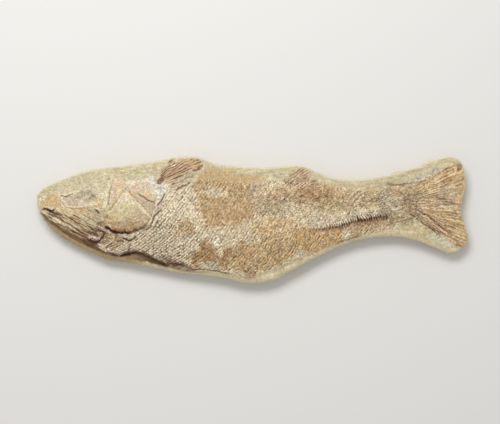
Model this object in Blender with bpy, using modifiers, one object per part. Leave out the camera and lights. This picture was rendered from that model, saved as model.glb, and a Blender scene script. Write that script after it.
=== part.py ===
"""Fossil fish slab: a flat-backed limestone nodule, trimmed to the outline of the
whole fish that lies on its side in the top face.

Stone and fossil are one solid, so there is one object.  It is blocked out from the
flat outline, rounded, and then carved: every point of the block is stretched upwards
to the height that top_height() gives for its place on the plan.

Metres, +Z up.  The snout points to -X, the fish's back to +Y, and the stone rests on
its flat back at Z = 0.  Plans, heights and depths below are in millimetres.
"""
import math

import bpy
import numpy as np

MM = 0.001

# Driving sizes, in millimetres.
SLAB_LENGTH = 431.0      # snout to the tip of the tail
RIM_HEIGHT = 19.0        # top of the bare stone at the slab's rim, above the flat back
CROWN_RISE = 9.5         # what the flank stands above the rim at its fullest
RIM_RADIUS = 3.5         # rounding of the slab's rim, top and bottom
RIM_DROOP = 0.8          # how far the border turns down towards the rim
RIM_DROOP_WIDTH = 9.0    # how far in from the rim it starts to turn down
SWELL_POWER = 2.3        # higher is flatter on top and steeper at the sides
LEDGE_DROP = 4.0         # step down from the belly to the strip of stone below it
SCALE_PITCH = 3.4        # between the slanting rows of scales
SCALE_RELIEF = 0.38      # half the height of a row of scales
FIN_RISE = 0.6           # a fin's patch above the stone round it
RAY_RELIEF = 0.45        # half the height of a fin ray
JAW_PITCH = 4.2          # between the long ridges of the jaws
JAW_RELIEF = 0.5         # half the height of such a ridge
EYE_DEPTH = 1.5          # depth of the hollow at the eye
THROAT_LUMP_RISE = 1.1   # height of a lump of broken bone at the throat
STEP_RISE = 1.5          # swelling of the rear flank above its step
STEP_NOTCH = 0.9         # depth of the groove along that step
STONE_ROUGHNESS = 0.7    # lumps of the broken sides
VOXEL = 1.05             # grain of the block before it is carved
TRIANGLES = 9400         # left after thinning

# The slab's outline, from the snout along the back to the tail and home by the belly.
OUTLINE = (
    (-214, 26), (-198.5, 36.5), (-172, 46), (-154, 50.5), (-132, 53), (-110, 55.5),
    (-76, 61.5), (-55, 62), (-44, 58), (-29.5, 54), (10, 51.5), (41.5, 53.5),
    (54, 51.5), (84, 40.5), (118, 40.5), (158, 50.5), (188, 61.5), (206.5, 60),
    (214, 41.5), (210, 16), (210.5, 3), (216, -19.5), (207, -31.5), (197, -34),
    (184, -29.5), (168, -23), (152, -18.5), (134, -17.5), (114, -19.5), (94, -25),
    (74, -33.5), (36, -53.5), (22, -61), (-3.5, -64), (-32.5, -58), (-76, -53.5),
    (-100, -48.5), (-126, -44), (-150, -39), (-183.5, -24), (-198, -12), (-213.5, 7),
)
# The fish's back and belly, snout to tail.
BACK_LINE = (
    (-214, 20), (-202, 26.5), (-174, 34), (-142, 41), (-97, 41), (-70, 37), (-40, 40),
    (-20, 38), (4, 36.5), (40, 40), (60, 39), (78, 34), (96, 30), (116, 28.5), (140, 33),
    (152, 36.5), (187, 52), (208, 57),
)
BELLY_LINE = (
    (-213, 7), (-196, -5), (-180, -15), (-164, -24), (-148, -32), (-139, -36.5),
    (-128, -33.5), (-116, -31.5), (-102, -37.5), (-84, -45.5), (-64, -51), (-40, -52),
    (-16, -56.5), (4, -56.5), (22, -50), (44, -40.5), (66, -31), (88, -23), (110, -16.5),
    (136, -11), (160, -8), (200, -30), (212, -33),
)
# Head.
OPERCLE = (
    (-125.7, 28), (-118, 21), (-110.5, 13), (-104.5, 7), (-100, 0.5), (-108, -7.5),
    (-117.5, -12.3), (-128, -12.3), (-137, -8.7), (-142, -1), (-140, 7), (-134, 16),
)
UPPER_PLATE = (
    (-126.5, 31.5), (-119, 35.5), (-110, 39), (-101.5, 38), (-97, 30), (-96.5, 17.5),
    (-104, 20.5), (-112, 24.5), (-120, 24.5),
)
SHOULDER_PLATE = ((-111, 22), (-97, 16), (-95, 8), (-98, 2), (-104, 8))
WHITE_PATCH = ((-101, 40.5), (-95, 37), (-84, 35), (-84, 28), (-90, 20), (-95, 26))
CHEEK_ROD = ((-141, 37), (-143.2, 29), (-143.4, 21), (-145.5, 14), (-149, 9))
CHEEK_EDGE = ((-189.5, 17.7), (-182.5, 13.7), (-174.6, 11.2), (-163.7, 11.7), (-155, 9))
JAW_LINE = ((-209, 8), (-196, 0), (-180, -9), (-164, -18), (-151, -27.5))
MOUTH = ((-210, 9), (-203, 8.2), (-197, 9.5), (-188, 8))
GILL_SLIT = (
    (-95.5, 18), (-94.5, 11), (-96.2, 3.5), (-102.5, -4.8), (-110.2, -11.6), (-119, -17.5),
)
SHOULDER_SLIT = (
    (-84, 29), (-88, 19.5), (-90, 10.4), (-93.7, 6.8), (-99, -1.4), (-104, -7.6),
    (-112.3, -13.8), (-122.6, -20),
)
THROAT_FOLD = ((-131, -14.5), (-125, -16.5), (-121, -19.5), (-117.3, -17), (-118, -13.5))
EYE_CENTRE, EYE_RADII = (-177, 17), (12.0, 6.5)
# The plates of the head: outline, height, width of the worn edge.
HEAD_PLATES = (
    (OPERCLE, 1.9, 2.0), (UPPER_PLATE, 1.1, 1.6), (SHOULDER_PLATE, 0.7, 1.5),
    (WHITE_PATCH, 0.7, 1.5),
)
# The ridges of the head, and its grooves, whose heights are negative: line, height, width.
HEAD_BARS = (
    (CHEEK_ROD, 1.3, 1.8), (CHEEK_EDGE, 0.9, 1.6), (MOUTH, -1.6, 1.3), (GILL_SLIT, -1.5, 1.2),
    (SHOULDER_SLIT, -1.1, 1.1), (THROAT_FOLD, 1.2, 1.3),
)
# The lumps of broken bone at the throat: place and radius.
THROAT_LUMPS = (
    (-157, -17, 2.8), (-150, -19, 3.0), (-155, -7, 2.8), (-146.5, -10, 3.4),
    (-143, -17, 2.8), (-140, -27, 3.0), (-147, -28, 2.6), (-153, 7, 2.4), (-136, -20, 2.6),
)
# Fins, flank and tail.
FRONT_FIN = (
    (-95, 39), (-90, 47), (-84, 55), (-76, 59), (-62, 61), (-52, 60), (-47.5, 55),
    (-50, 49.5), (-60, 44), (-72, 36), (-84, 30.5), (-89, 33),
)
REAR_FIN = ((35, 39), (41, 47.5), (47, 51), (54, 49.5), (61, 42), (66, 34), (51, 35))
FLANK_STEP = (
    (44, -14.5), (66, -11.5), (84, -8.8), (92.5, -5.2), (108, -2.8), (115, -1), (134.5, 0.2),
)
TAIL_TOP_EDGE = ((137.5, 36.5), (152, 36.5), (169, 44), (187, 52.3), (207, 57.5))
TAIL_LOW_EDGE = ((151, 2), (166, -5), (184, -18), (203, -31))
TAIL_BARS = ((TAIL_TOP_EDGE, 1.2, 1.8), (TAIL_LOW_EDGE, 1.2, 1.6))
TAIL_FOCUS = (134, 15)
TAIL_LUMP, TAIL_LUMP_RADIUS, TAIL_LUMP_RISE = (206.5, 53), 2.6, 1.2
FRONT_RAY_ANGLE, FRONT_RAY_PITCH = 27.0, 3.2
REAR_RAY_ANGLE, REAR_RAY_PITCH = 40.0, 2.9
TAIL_RAY_DEGREES = 3.4   # between neighbouring rays of the tail
ROW_ANGLE = 57.0         # slant of the rows of scales
WORN_CENTRE, WORN_RADII = (-34, 8), (24.0, 17.0)

RIM_CORNER = 17          # the last point of OUTLINE on the slab's upper side, at the tail

# Heights along the slab: place, share of RIM_HEIGHT, share of CROWN_RISE.
STATIONS = np.array((
    (-216, 0.74, 0.00), (-200, 0.86, 0.28), (-175, 0.94, 0.58), (-140, 1.00, 0.84),
    (-95, 1.02, 0.92), (-45, 1.02, 1.00), (10, 1.00, 0.96), (55, 0.98, 0.80),
    (95, 0.95, 0.58), (130, 0.93, 0.34), (155, 0.92, 0.12), (185, 0.90, 0.02),
    (217, 0.84, 0.00),
))


def smooth(points, closed=False, steps=6):
    """Points of the Catmull-Rom curve that runs through the given ones."""
    p = np.asarray(points, float)
    if closed:
        p = np.vstack([p[-1], p, p[:2]])
    else:
        p = np.vstack([2 * p[0] - p[1], p, 2 * p[-1] - p[-2]])
    t = np.linspace(0, 1, steps, endpoint=False)[None, :, None]
    a, b, c, d = (p[i:len(p) - 3 + i, None, :] for i in range(4))
    curve = 0.5 * (2 * b + (c - a) * t + (2 * a - 5 * b + 4 * c - d) * t ** 2
                   + (3 * b - a - 3 * c + d) * t ** 3)
    curve = curve.reshape(-1, 2)
    return curve if closed else np.vstack([curve, p[-2]])


def ease(value, start, end):
    """Smooth step: 0 at start, 1 at end, level beyond both."""
    t = np.clip((value - start) / (end - start), 0, 1)
    return t * t * (3 - 2 * t)


def reach(xy, line):
    """Distance from each point to a line, and how far along it the nearest place is."""
    best = np.full(len(xy), np.inf)
    along = np.zeros(len(xy))
    for i, (a, b) in enumerate(zip(line[:-1], line[1:])):
        ab = b - a
        t = np.clip(((xy - a) @ ab) / (ab @ ab), 0, 1)
        d = np.linalg.norm(xy - a - t[:, None] * ab, axis=1)
        near = d < best
        best[near] = d[near]
        along[near] = (i + t[near]) / (len(line) - 1)
    return best, along


def depth_inside(xy, outline):
    """Distance to a closed outline, positive inside it and negative outside."""
    loop = np.vstack([outline, outline[:1]])
    x, y = xy.T
    inside = np.zeros(len(xy), bool)
    for (ax, ay), (bx, by) in zip(loop[:-1], loop[1:]):
        if ay != by:
            crosses = (ay > y) != (by > y)
            inside ^= crosses & (x < ax + (y - ay) * (bx - ax) / (by - ay))
    return np.where(inside, 1, -1) * reach(xy, loop)[0]


def bar(xy, points, height, width):
    """A ridge along a line, or a groove where height is negative, fading at its ends."""
    d, along = reach(xy, smooth(points))
    ends = ease(along, 0, 0.12) * (1 - ease(along, 0.88, 1))
    return height * np.exp(-(d / width) ** 2) * (0.35 + 0.65 * ends)


def plate(xy, points, height, edge):
    """A raised plate with its rim worn over a width of edge."""
    return height * ease(depth_inside(xy, smooth(points, closed=True)), -0.4 * edge, edge)


def lump(xy, place, radius, height):
    """A round lump, or a hollow where height is negative."""
    return height * np.exp(-(((xy - place) / radius) ** 2).sum(axis=1))


def waves(xy, angle, pitch):
    """Long ridges that slant at an angle, as a wave from -1 to 1."""
    slant = math.radians(angle)
    across = xy @ (math.sin(slant), -math.cos(slant))
    return np.cos(2 * math.pi * across / pitch)


def rough(points, size):
    """Irregular lumps of about a size, -1 to 1, from crossing waves."""
    p = points / size
    x, y, z = p.T
    return (np.sin(2.1 * x + 1.7 * np.sin(1.3 * y + z)) + np.sin(1.9 * y - 1.1 * z + 0.7)
            + np.sin(2.7 * z + 1.4 * np.sin(1.7 * x - y))) / 3


def share_between(xy, upper, lower):
    """-1 on the upper line, 1 on the lower one, 0 midway between them."""
    upper, lower = smooth(upper), smooth(lower)
    high = np.interp(xy[:, 0], upper[:, 0], upper[:, 1])
    low = np.interp(xy[:, 0], lower[:, 0], lower[:, 1])
    return (high + low - 2 * xy[:, 1]) / (high - low)


def head(xy):
    """Gill cover, cheek, eye hollow, jaws and throat."""
    z = lump(xy, EYE_CENTRE, EYE_RADII, -EYE_DEPTH)
    for points, height, edge in HEAD_PLATES:
        z += plate(xy, points, height, edge)
    for points, height, width in HEAD_BARS:
        z += bar(xy, points, height, width)
    for x, y, radius in THROAT_LUMPS:
        z += lump(xy, (x, y), radius, THROAT_LUMP_RISE)
    from_jaw, along = reach(xy, smooth(JAW_LINE))
    striped = (1 - ease(from_jaw, 7, 12)) * ease(along, 0, 0.1) * (1 - ease(along, 0.85, 1))
    return z + JAW_RELIEF * striped * np.cos(2 * math.pi * from_jaw / JAW_PITCH)


def fins(xy):
    """The two fins of the back, each a low patch of slanting rays."""
    z = np.zeros(len(xy))
    for points, angle, pitch in ((FRONT_FIN, FRONT_RAY_ANGLE, FRONT_RAY_PITCH),
                                 (REAR_FIN, REAR_RAY_ANGLE, REAR_RAY_PITCH)):
        within = ease(depth_inside(xy, smooth(points, closed=True)), 0, 2)
        z += within * (FIN_RISE + RAY_RELIEF * waves(xy, angle, pitch))
    return z


def tail(xy):
    """Rays that fan out from the root of the tail, and its two stout leading edges."""
    away = xy - TAIL_FOCUS
    turn = np.degrees(np.arctan2(away[:, 1], away[:, 0]))
    fan = ease(np.hypot(*away.T), 30, 42) * ease(turn, -50, -46) * (1 - ease(turn, 30, 34))
    z = fan * RAY_RELIEF * np.cos(2 * math.pi * turn / TAIL_RAY_DEGREES)
    for points, height, width in TAIL_BARS:
        z += bar(xy, points, height, width)
    return z + lump(xy, TAIL_LUMP, TAIL_LUMP_RADIUS, TAIL_LUMP_RISE)


def scales(xy, share):
    """Slanting rows of scales from the gill slit to the root of the tail."""
    behind_gill = -depth_inside(xy, smooth(SHOULDER_SLIT + ((-150, -32), (-220, 0), (-220, 60),
                                                           (-90, 42)), closed=True))
    on_body = (ease(behind_gill, 0, 3) * (1 - ease(xy[:, 0], 128, 140))
               * (1 - ease(np.abs(share), 0.92, 1.0)))
    off_fins = 1
    for points in (FRONT_FIN, REAR_FIN):
        off_fins = off_fins * (1 - ease(depth_inside(xy, smooth(points, closed=True)), -2, 0))
    worn = 1 - 0.8 * lump(xy, WORN_CENTRE, WORN_RADII, 1)
    return SCALE_RELIEF * on_body * off_fins * worn * waves(xy, ROW_ANGLE, SCALE_PITCH)


def flank(xy):
    """The step that runs back along the rear flank, toothed on its lower side."""
    d, along = reach(xy, smooth(FLANK_STEP))
    faded = ease(along, 0, 0.25) * (1 - ease(along, 0.93, 1))
    lower = xy[:, 1] < np.interp(xy[:, 0], *np.transpose(FLANK_STEP))
    swelling = STEP_RISE * np.exp(-(d / 4.0) ** 2)
    notch = -STEP_NOTCH * np.exp(-(d / 1.6) ** 2)
    return faded * np.where(lower, notch, swelling + notch)


def top_height(xy):
    """Height of the finished top face above the flat back, in millimetres.

    The rim's height and the fish's rise are read along the slab; the rise is shared
    between the upper rim and the belly as 1 - |swell|^SWELL_POWER, so the flank is full
    and the stone turns down evenly to both sides.  Below the belly it drops by a ledge,
    and everything else is added.
    """
    share = share_between(xy, BACK_LINE, BELLY_LINE)
    swell = share_between(xy, OUTLINE[:RIM_CORNER + 1], BELLY_LINE)
    rim = RIM_HEIGHT * np.interp(xy[:, 0], STATIONS[:, 0], STATIONS[:, 1])
    rise = CROWN_RISE * np.interp(xy[:, 0], STATIONS[:, 0], STATIONS[:, 2])
    z = rim + rise * (1 - np.clip(np.abs(swell), 0, 1) ** SWELL_POWER)
    along = xy[:, 0]
    ledge = ease(along, -215, -180) * (1 - 0.7 * ease(along, -30, 60)) * (1 - ease(along, 90, 135))
    z -= LEDGE_DROP * ledge * ease(share, 0.97, 1.06)
    z += head(xy) + fins(xy) + tail(xy) + scales(xy, share) + flank(xy)
    from_rim = depth_inside(xy, smooth(OUTLINE, closed=True))
    return z - RIM_DROOP * (1 - ease(from_rim, 0, RIM_DROOP_WIDTH))


def block_out():
    """The flat outline, as thick as the bare stone, with its rims rounded."""
    curve = bpy.data.curves.new("slab_outline", "CURVE")
    curve.dimensions = "2D"
    curve.fill_mode = "BOTH"
    curve.extrude = (RIM_HEIGHT / 2 - RIM_RADIUS) * MM
    curve.bevel_depth = RIM_RADIUS * MM
    curve.bevel_resolution = 3
    curve.offset = -RIM_RADIUS * MM
    drawn = smooth(OUTLINE, closed=True, steps=4)
    size = SLAB_LENGTH / np.ptp(drawn[:, 0])
    spline = curve.splines.new("POLY")
    spline.points.add(len(drawn) - 1)
    for point, (x, y) in zip(spline.points, drawn):
        point.co = (x * size * MM, y * size * MM, 0, 1)
    spline.use_cyclic_u = True
    return bpy.data.objects.new("slab_outline", curve)


def made_mesh(obj, name):
    """A mesh of the object as its modifiers leave it."""
    view = bpy.context.evaluated_depsgraph_get()
    mesh = bpy.data.meshes.new_from_object(obj.evaluated_get(view))
    mesh.name = name
    return mesh


def carve(mesh):
    """Stretches the block to the height of its top face, and roughens its sides."""
    points = np.empty(len(mesh.vertices) * 3)
    mesh.vertices.foreach_get("co", points)
    points = points.reshape(-1, 3) / MM
    low, high = points[:, 2].min(), points[:, 2].max()
    level = (points[:, 2] - low) / (high - low)
    from_rim = depth_inside(points[:, :2], smooth(OUTLINE, closed=True))
    side = 1 - ease(from_rim, 2, 9)
    for axis, shift in ((0, 0.0), (1, 40.0)):
        points[:, axis] += STONE_ROUGHNESS * side * rough(points + shift, 7.0)
    points[:, 2] = level * top_height(points[:, :2])
    middle = (points.min(axis=0) + points.max(axis=0)) / 2
    points[:, :2] -= middle[:2]
    mesh.vertices.foreach_set("co", (points * MM).ravel())
    mesh.update()


def limestone():
    """Cream limestone with a chalky, unpolished face."""
    material = bpy.data.materials.new("limestone")
    material.use_nodes = True
    shader = material.node_tree.nodes["Principled BSDF"]
    shader.inputs["Base Color"].default_value = (0.53, 0.42, 0.26, 1)
    shader.inputs["Roughness"].default_value = 0.85
    shader.inputs["Metallic"].default_value = 0.0
    return material


def build():
    """Blocks out, remeshes, carves and thins the slab."""
    for old in list(bpy.data.objects):
        bpy.data.objects.remove(old)
    parts = bpy.data.collections.new("fossil_fish_slab")
    bpy.context.scene.collection.children.link(parts)

    outline = block_out()
    parts.objects.link(outline)
    block = bpy.data.objects.new("block", made_mesh(outline, "block"))
    parts.objects.link(block)
    bpy.data.objects.remove(outline)

    grain = block.modifiers.new("grain", "REMESH")
    grain.mode = "VOXEL"
    grain.voxel_size = VOXEL * MM
    slab = bpy.data.objects.new("fossil_slab", made_mesh(block, "fossil_slab"))
    parts.objects.link(slab)
    bpy.data.objects.remove(block)
    carve(slab.data)

    thin = slab.modifiers.new("thin", "DECIMATE")
    slab.data.calc_loop_triangles()
    thin.ratio = TRIANGLES / len(slab.data.loop_triangles)
    thin.use_collapse_triangulate = True
    slab.data.materials.clear()
    slab.data.materials.append(limestone())


build()
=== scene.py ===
"""Fossil fish slab, finished: a cream limestone nodule with a whole fish lying in its face.

Plans and heights are in millimetres until a mesh is made.  The snout points to -X, the
fish's back to +Y, and the flat back of the stone lies at Z = 0.  The upper face is one
relief: face_of() gives its height and colour at any place of the plan.  The stone, the
head, the flanks, the tail and the fins are nets of points laid over that relief, each
closed underneath.
"""

import math

import bpy
import numpy as np
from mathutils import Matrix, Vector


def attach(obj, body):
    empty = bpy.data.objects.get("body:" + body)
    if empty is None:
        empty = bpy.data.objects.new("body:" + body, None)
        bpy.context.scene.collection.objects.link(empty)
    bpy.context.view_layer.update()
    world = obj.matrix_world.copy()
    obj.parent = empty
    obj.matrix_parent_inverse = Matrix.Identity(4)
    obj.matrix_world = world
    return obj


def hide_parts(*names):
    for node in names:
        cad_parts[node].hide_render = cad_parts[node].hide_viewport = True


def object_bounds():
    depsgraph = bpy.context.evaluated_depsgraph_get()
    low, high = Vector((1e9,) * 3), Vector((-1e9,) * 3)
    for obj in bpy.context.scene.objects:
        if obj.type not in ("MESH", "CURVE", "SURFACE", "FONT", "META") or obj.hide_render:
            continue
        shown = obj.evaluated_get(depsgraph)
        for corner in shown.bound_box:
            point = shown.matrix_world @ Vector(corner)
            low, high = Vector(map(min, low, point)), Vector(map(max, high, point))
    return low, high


MM = 0.001

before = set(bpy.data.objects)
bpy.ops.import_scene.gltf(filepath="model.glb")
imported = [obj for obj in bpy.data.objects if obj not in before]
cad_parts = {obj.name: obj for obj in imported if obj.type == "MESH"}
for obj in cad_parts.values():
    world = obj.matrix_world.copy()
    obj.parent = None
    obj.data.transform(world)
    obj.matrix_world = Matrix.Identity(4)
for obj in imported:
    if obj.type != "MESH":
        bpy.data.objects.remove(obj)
CAD_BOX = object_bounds()


def rgb(red, green, blue):
    """A colour on the usual 0 to 255 scale, as linear light."""
    c = np.array((red, green, blue)) / 255
    return np.where(c < 0.04045, c / 12.92, ((c + 0.055) / 1.055) ** 2.4)


# ---- colours -----------------------------------------------------------------------------
CREAM = rgb(206, 194, 161)
BUFF = rgb(196, 180, 142)
PAINTED_SHADE_DUN = rgb(178, 166, 132)
PALE = rgb(224, 213, 186)
CHALK = rgb(207, 201, 184)
SCALE_CREAM = rgb(214, 197, 164)
JAW_CREAM = rgb(214, 192, 158)
FIN_TAN = rgb(212, 184, 148)
LIP_BUFF = rgb(202, 186, 150)
LIP_BROWN = rgb(150, 127, 90)
PINK = rgb(214, 190, 172)
OLIVE = rgb(178, 166, 134)
RUST = rgb(166, 122, 86)
BROWN = rgb(142, 112, 80)
PLUM = rgb(112, 80, 64)
UMBER = rgb(104, 74, 46)
RAY_GAP = rgb(148, 118, 86)
GROOVE_DIRT_AND_SHADE = rgb(112, 84, 56)
NOTCH_BROWN = rgb(92, 60, 42)
DEEP_PLUM = rgb(84, 50, 42)
DARK = rgb(70, 42, 22)

# ---- sizes, in millimetres ---------------------------------------------------------------
RIM_HEIGHT = 19.0         # top of the bare stone at the slab's rim, above the flat back
CROWN_RISE = 9.5          # what the flank stands above the rim at its fullest
SWELL_POWER = 2.3         # how full the swell is: 2 would be a parabola
RIM_RADIUS = 3.5          # rounding of the slab's rim, top and bottom
RIM_DROOP = 0.8           # what the border falls towards the rim
RIM_DROOP_WIDTH = 9.0     # the width over which it does
LEDGE_DROP = 4.0          # step down from the belly to the strip of stone below it
STONE_WAVES = 0.35        # broad unevenness of the stone
COARSE_GRIT = 0.10        # fine unevenness of the whole face
FINE_GRIT = 0.14          # and finer still
SCALE_RELIEF = 0.62       # a scale's crest above the grooves round it
PEBBLE_RELIEF = 0.6       # bits of broken and granular skin
JAW_RELIEF = 0.75         # ridges of the lower jaw
STEP_RISE = 1.5           # the flank above the torn step
STEP_FALL = 1.0           # and the hollow below it
NOTCH_DEPTH = 1.2         # the dark notches of the step's comb
COMB_PITCH = 2.7          # from one tooth of the comb to the next
NET_LIFT = 0.04           # how far the fish's nets lie above the stone
FIN_LIFT = 0.06           # how far the fins' own nets do
FIN_BED = 1.2             # how far the fish's net sinks under a fin's own net
EDGE_DIP = 0.5            # how far a net dips into the stone at its outline
EDGE_DIP_WIDTH = 0.8      # the width over which it does
SIDE_SKIRT = 9.0          # how deep a net's long sides reach into the stone
END_SKIRT = 7.0           # and how deep its two ends do
SINK = 2.0                # how far the stone lies below the face under a net

# ---- the plan ----------------------------------------------------------------------------
# Points are x and y in millimetres.  Closed outlines don't repeat their first point.
OUTLINE = (
    (-214, 26), (-198.5, 36.5), (-172, 46), (-154, 50.5), (-132, 53), (-110, 55.5), (-76, 61.5),
    (-55, 62), (-44, 58), (-29.5, 54), (10, 51.5), (41.5, 53.5), (54, 51.5), (84, 40.5), (118, 40.5),
    (158, 50.5), (188, 61.5), (206.5, 60), (214, 41.5), (210, 16), (210.5, 3), (216, -19.5),
    (207, -31.5), (197, -34), (184, -29.5), (168, -23), (152, -18.5), (134, -17.5), (114, -19.5),
    (94, -25), (74, -33.5), (36, -53.5), (22, -61), (-3.5, -64), (-32.5, -58), (-76, -53.5),
    (-100, -48.5), (-126, -44), (-150, -39), (-183.5, -24), (-198, -12), (-213.5, 7),
)
RIM_CORNER = 17           # the last point of OUTLINE on the slab's upper side, at the tail
BACK_LINE = (
    (-214, 20), (-202, 26.5), (-174, 34), (-142, 41), (-97, 41), (-70, 37), (-40, 40), (-20, 38),
    (4, 36.5), (40, 40), (60, 39), (78, 34), (96, 30), (116, 28.5), (140, 33), (152, 36.5), (187, 52),
    (208, 57),
)
BELLY_LINE = (
    (-213, 7), (-196, -5), (-180, -15), (-164, -24), (-148, -32), (-139, -36.5), (-128, -33.5),
    (-116, -31.5), (-102, -37.5), (-84, -45.5), (-64, -51), (-40, -52), (-16, -56.5), (4, -56.5),
    (22, -50), (44, -40.5), (66, -31), (88, -23), (110, -16.5), (136, -11), (160, -8), (200, -30),
    (212, -33),
)
SNOUT_END = ((-204.5, 6), (-208, 12), (-207, 19))
TAIL_END = ((207.5, -14), (204, 4), (206.5, 30))
CUTS = (-200, -96, 22, 140, 201)      # X where the fish's nets begin, meet and end

GILL_LINE = (
    (-86.5, 31), (-87, 27), (-90, 19), (-93.5, 12.5), (-96.5, 5),
    (-100, -3), (-104.5, -7.5), (-110, -10.5), (-114.5, -14), (-118, -18.5),
)
HEAD_PLAN = GILL_LINE + (
    (-130, -21.5), (-140, -24.5), (-145.5, -27.5), (-145.5, -32), (-142, -41), (-192, -31),
    (-232, -1), (-232, 59), (-87, 47),
)
# Fins and bundles of rays; a focus is where a fin's rays would meet.
FRONT_FIN = (
    (-93.5, 41), (-89, 48.5), (-82.5, 57.5), (-77, 60.5), (-69.5, 61), (-57.5, 61), (-53.5, 60),
    (-49, 55.5), (-49, 51.5), (-60.5, 45.5), (-71.5, 41), (-81.5, 35), (-91, 36.5), (-95, 38.5),
)
SECOND_BUNDLE = (
    (-81.5, 33), (-75, 35.5), (-65.5, 37.5), (-60.5, 38.5), (-64.5, 35), (-69.5, 31.5), (-74.5, 29),
    (-79, 29.5),
)
REAR_FIN = (
    (31, 36.5), (37.5, 44.5), (43, 49.5), (49, 51), (55, 49.5), (59.5, 41), (66, 37.5), (58, 33),
    (45, 31.5), (34, 33),
)
TAIL_RAYS = (
    (152, 29), (168, 38), (194, 50), (206, 55), (212, 43), (209, 19), (210, 1), (214, -17), (207, -28),
    (198, -25), (186, -15), (172, -7), (160, 5), (150, 17),
)
TAIL_BUNDLE = (
    (162, 11), (167, 9.5), (178, 2), (190, -7), (199, -14), (197, -17.5), (186, -14.5), (174.5, -6.5),
    (164.5, 1),
)
TAIL_FOCUS = (134, 15)
FRONT_FIN_FOCUS = (-132, 19)
# The torn step of the rear flank, and the lower jaw.
FLANK_STEP = (
    (44, -9), (49.5, -9.5), (57, -10), (66.5, -9.5), (72, -9), (79.5, -7.5), (86.5, -7), (91.5, -5),
    (99.5, -2.5), (108, -1), (116.5, 0.5), (124.5, 1.5), (133, 2.5), (136.5, 1.5),
)
JAW_LINE = ((-209, 8), (-196, 0), (-180, -9), (-164, -18), (-151, -27.5))
JAW_PLAN = (
    (-210, 10), (-192, 8), (-176, 2), (-160, -7), (-149, -21), (-142, -34), (-156, -32), (-174, -24),
    (-192, -15), (-204, -4),
)

# Heights along the slab: place, share of RIM_HEIGHT, share of CROWN_RISE.
STATIONS = np.array((
    (-216, 0.74, 0.00), (-200, 0.86, 0.28), (-175, 0.94, 0.58), (-140, 1.00, 0.84),
    (-95, 1.02, 0.92), (-45, 1.02, 1.00), (10, 1.00, 0.96), (55, 0.98, 0.80),
    (95, 0.95, 0.58), (130, 0.93, 0.34), (155, 0.92, 0.12), (185, 0.90, 0.02),
    (217, 0.84, 0.00),
))
# Rows of scales at places on the flank: x, y, slant in degrees and pitch; then the rows
# that cross them.
ROW_READINGS = (
    (-100, -25, 34, 2.6), (-87, -16, 38, 2.65), (-72, 4, 56, 2.7), (-72, -26, 40, 2.55),
    (-52, -11, 57, 2.7), (-52, -31, 45, 2.6), (-37, -16, 59, 2.7), (-22, -41, 43, 2.6),
    (-22, -21, 56, 2.75), (-12, 4, 60, 2.95), (3, 19, 58, 2.8), (38, 9, 52, 2.85), (48, -16, 57, 2.85),
    (83, 14, 54, 2.75), (103, 14, 50, 2.6), (118, 14, 49, 2.55),
)
CROSS_READINGS = (
    (-87, -16, -27, 2.8), (-72, 4, -33, 3.0), (3, 19, -36, 3.2), (38, 9, -40, 3.1), (110, 10, -42, 3.0),
    (-2, -26, -28, 3.1), (60, -20, -35, 3.0),
)
# Parts of the flank: scales worn smooth, scales like beads, and granular ground.
WORN_FLANK = (
    (-55, 26), (-40, 28), (-26, 23), (-10, 25), (4, 19), (0, 5), (-9, -7), (-26, -9), (-42, -7),
    (-54, -1), (-58, 13),
)
BEADED_FLANK = (
    (-148, -21), (-118, -13), (-102, -1), (-82, 5), (-56, -7), (-46, -21), (-56, -43), (-82, -45),
    (-122, -39), (-148, -39),
)
GRANULAR_FLANK = (
    (-12, 41), (38, 33), (78, 33), (134, 35), (146, 19), (146, -3), (88, 3), (48, -5), (10, 5),
    (-4, 23),
)

# Plates of the head: outline, height, width of the worn edge.
HEAD_PLATES = (
    (((-126, 27.5), (-120, 21.5), (-113.5, 15), (-106.5, 8), (-101.5, 3), (-102, -1.5), (-106.5, -6.5),
      (-114.5, -10), (-121, -12.5), (-129, -13), (-136.5, -12), (-143, -8.5), (-147, -3), (-145, 2),
      (-139.5, 7), (-135, 14), (-130, 20.5)), 1.5, 1.1),
    (((-127.5, 32.5), (-122, 37), (-111, 39), (-102, 39.5), (-98.5, 31), (-96, 18), (-101, 18),
      (-107, 21), (-112, 24.5), (-121, 26.5)), 0.7, 1.0),
    (((-111, 21.5), (-103, 17.5), (-95.5, 14), (-96, 7), (-100.5, 4.5), (-106, 11), (-111, 16)),
     0.35, 1.0),
    (((-101, 41.5), (-97, 41.5), (-95, 35), (-96.5, 29), (-100, 32)), 0.45, 0.8),
    (((-95.5, 36), (-88, 36.5), (-84, 32), (-86, 25), (-92, 17.5), (-95.5, 22), (-96.5, 28)),
     0.45, 0.8),
)
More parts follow.
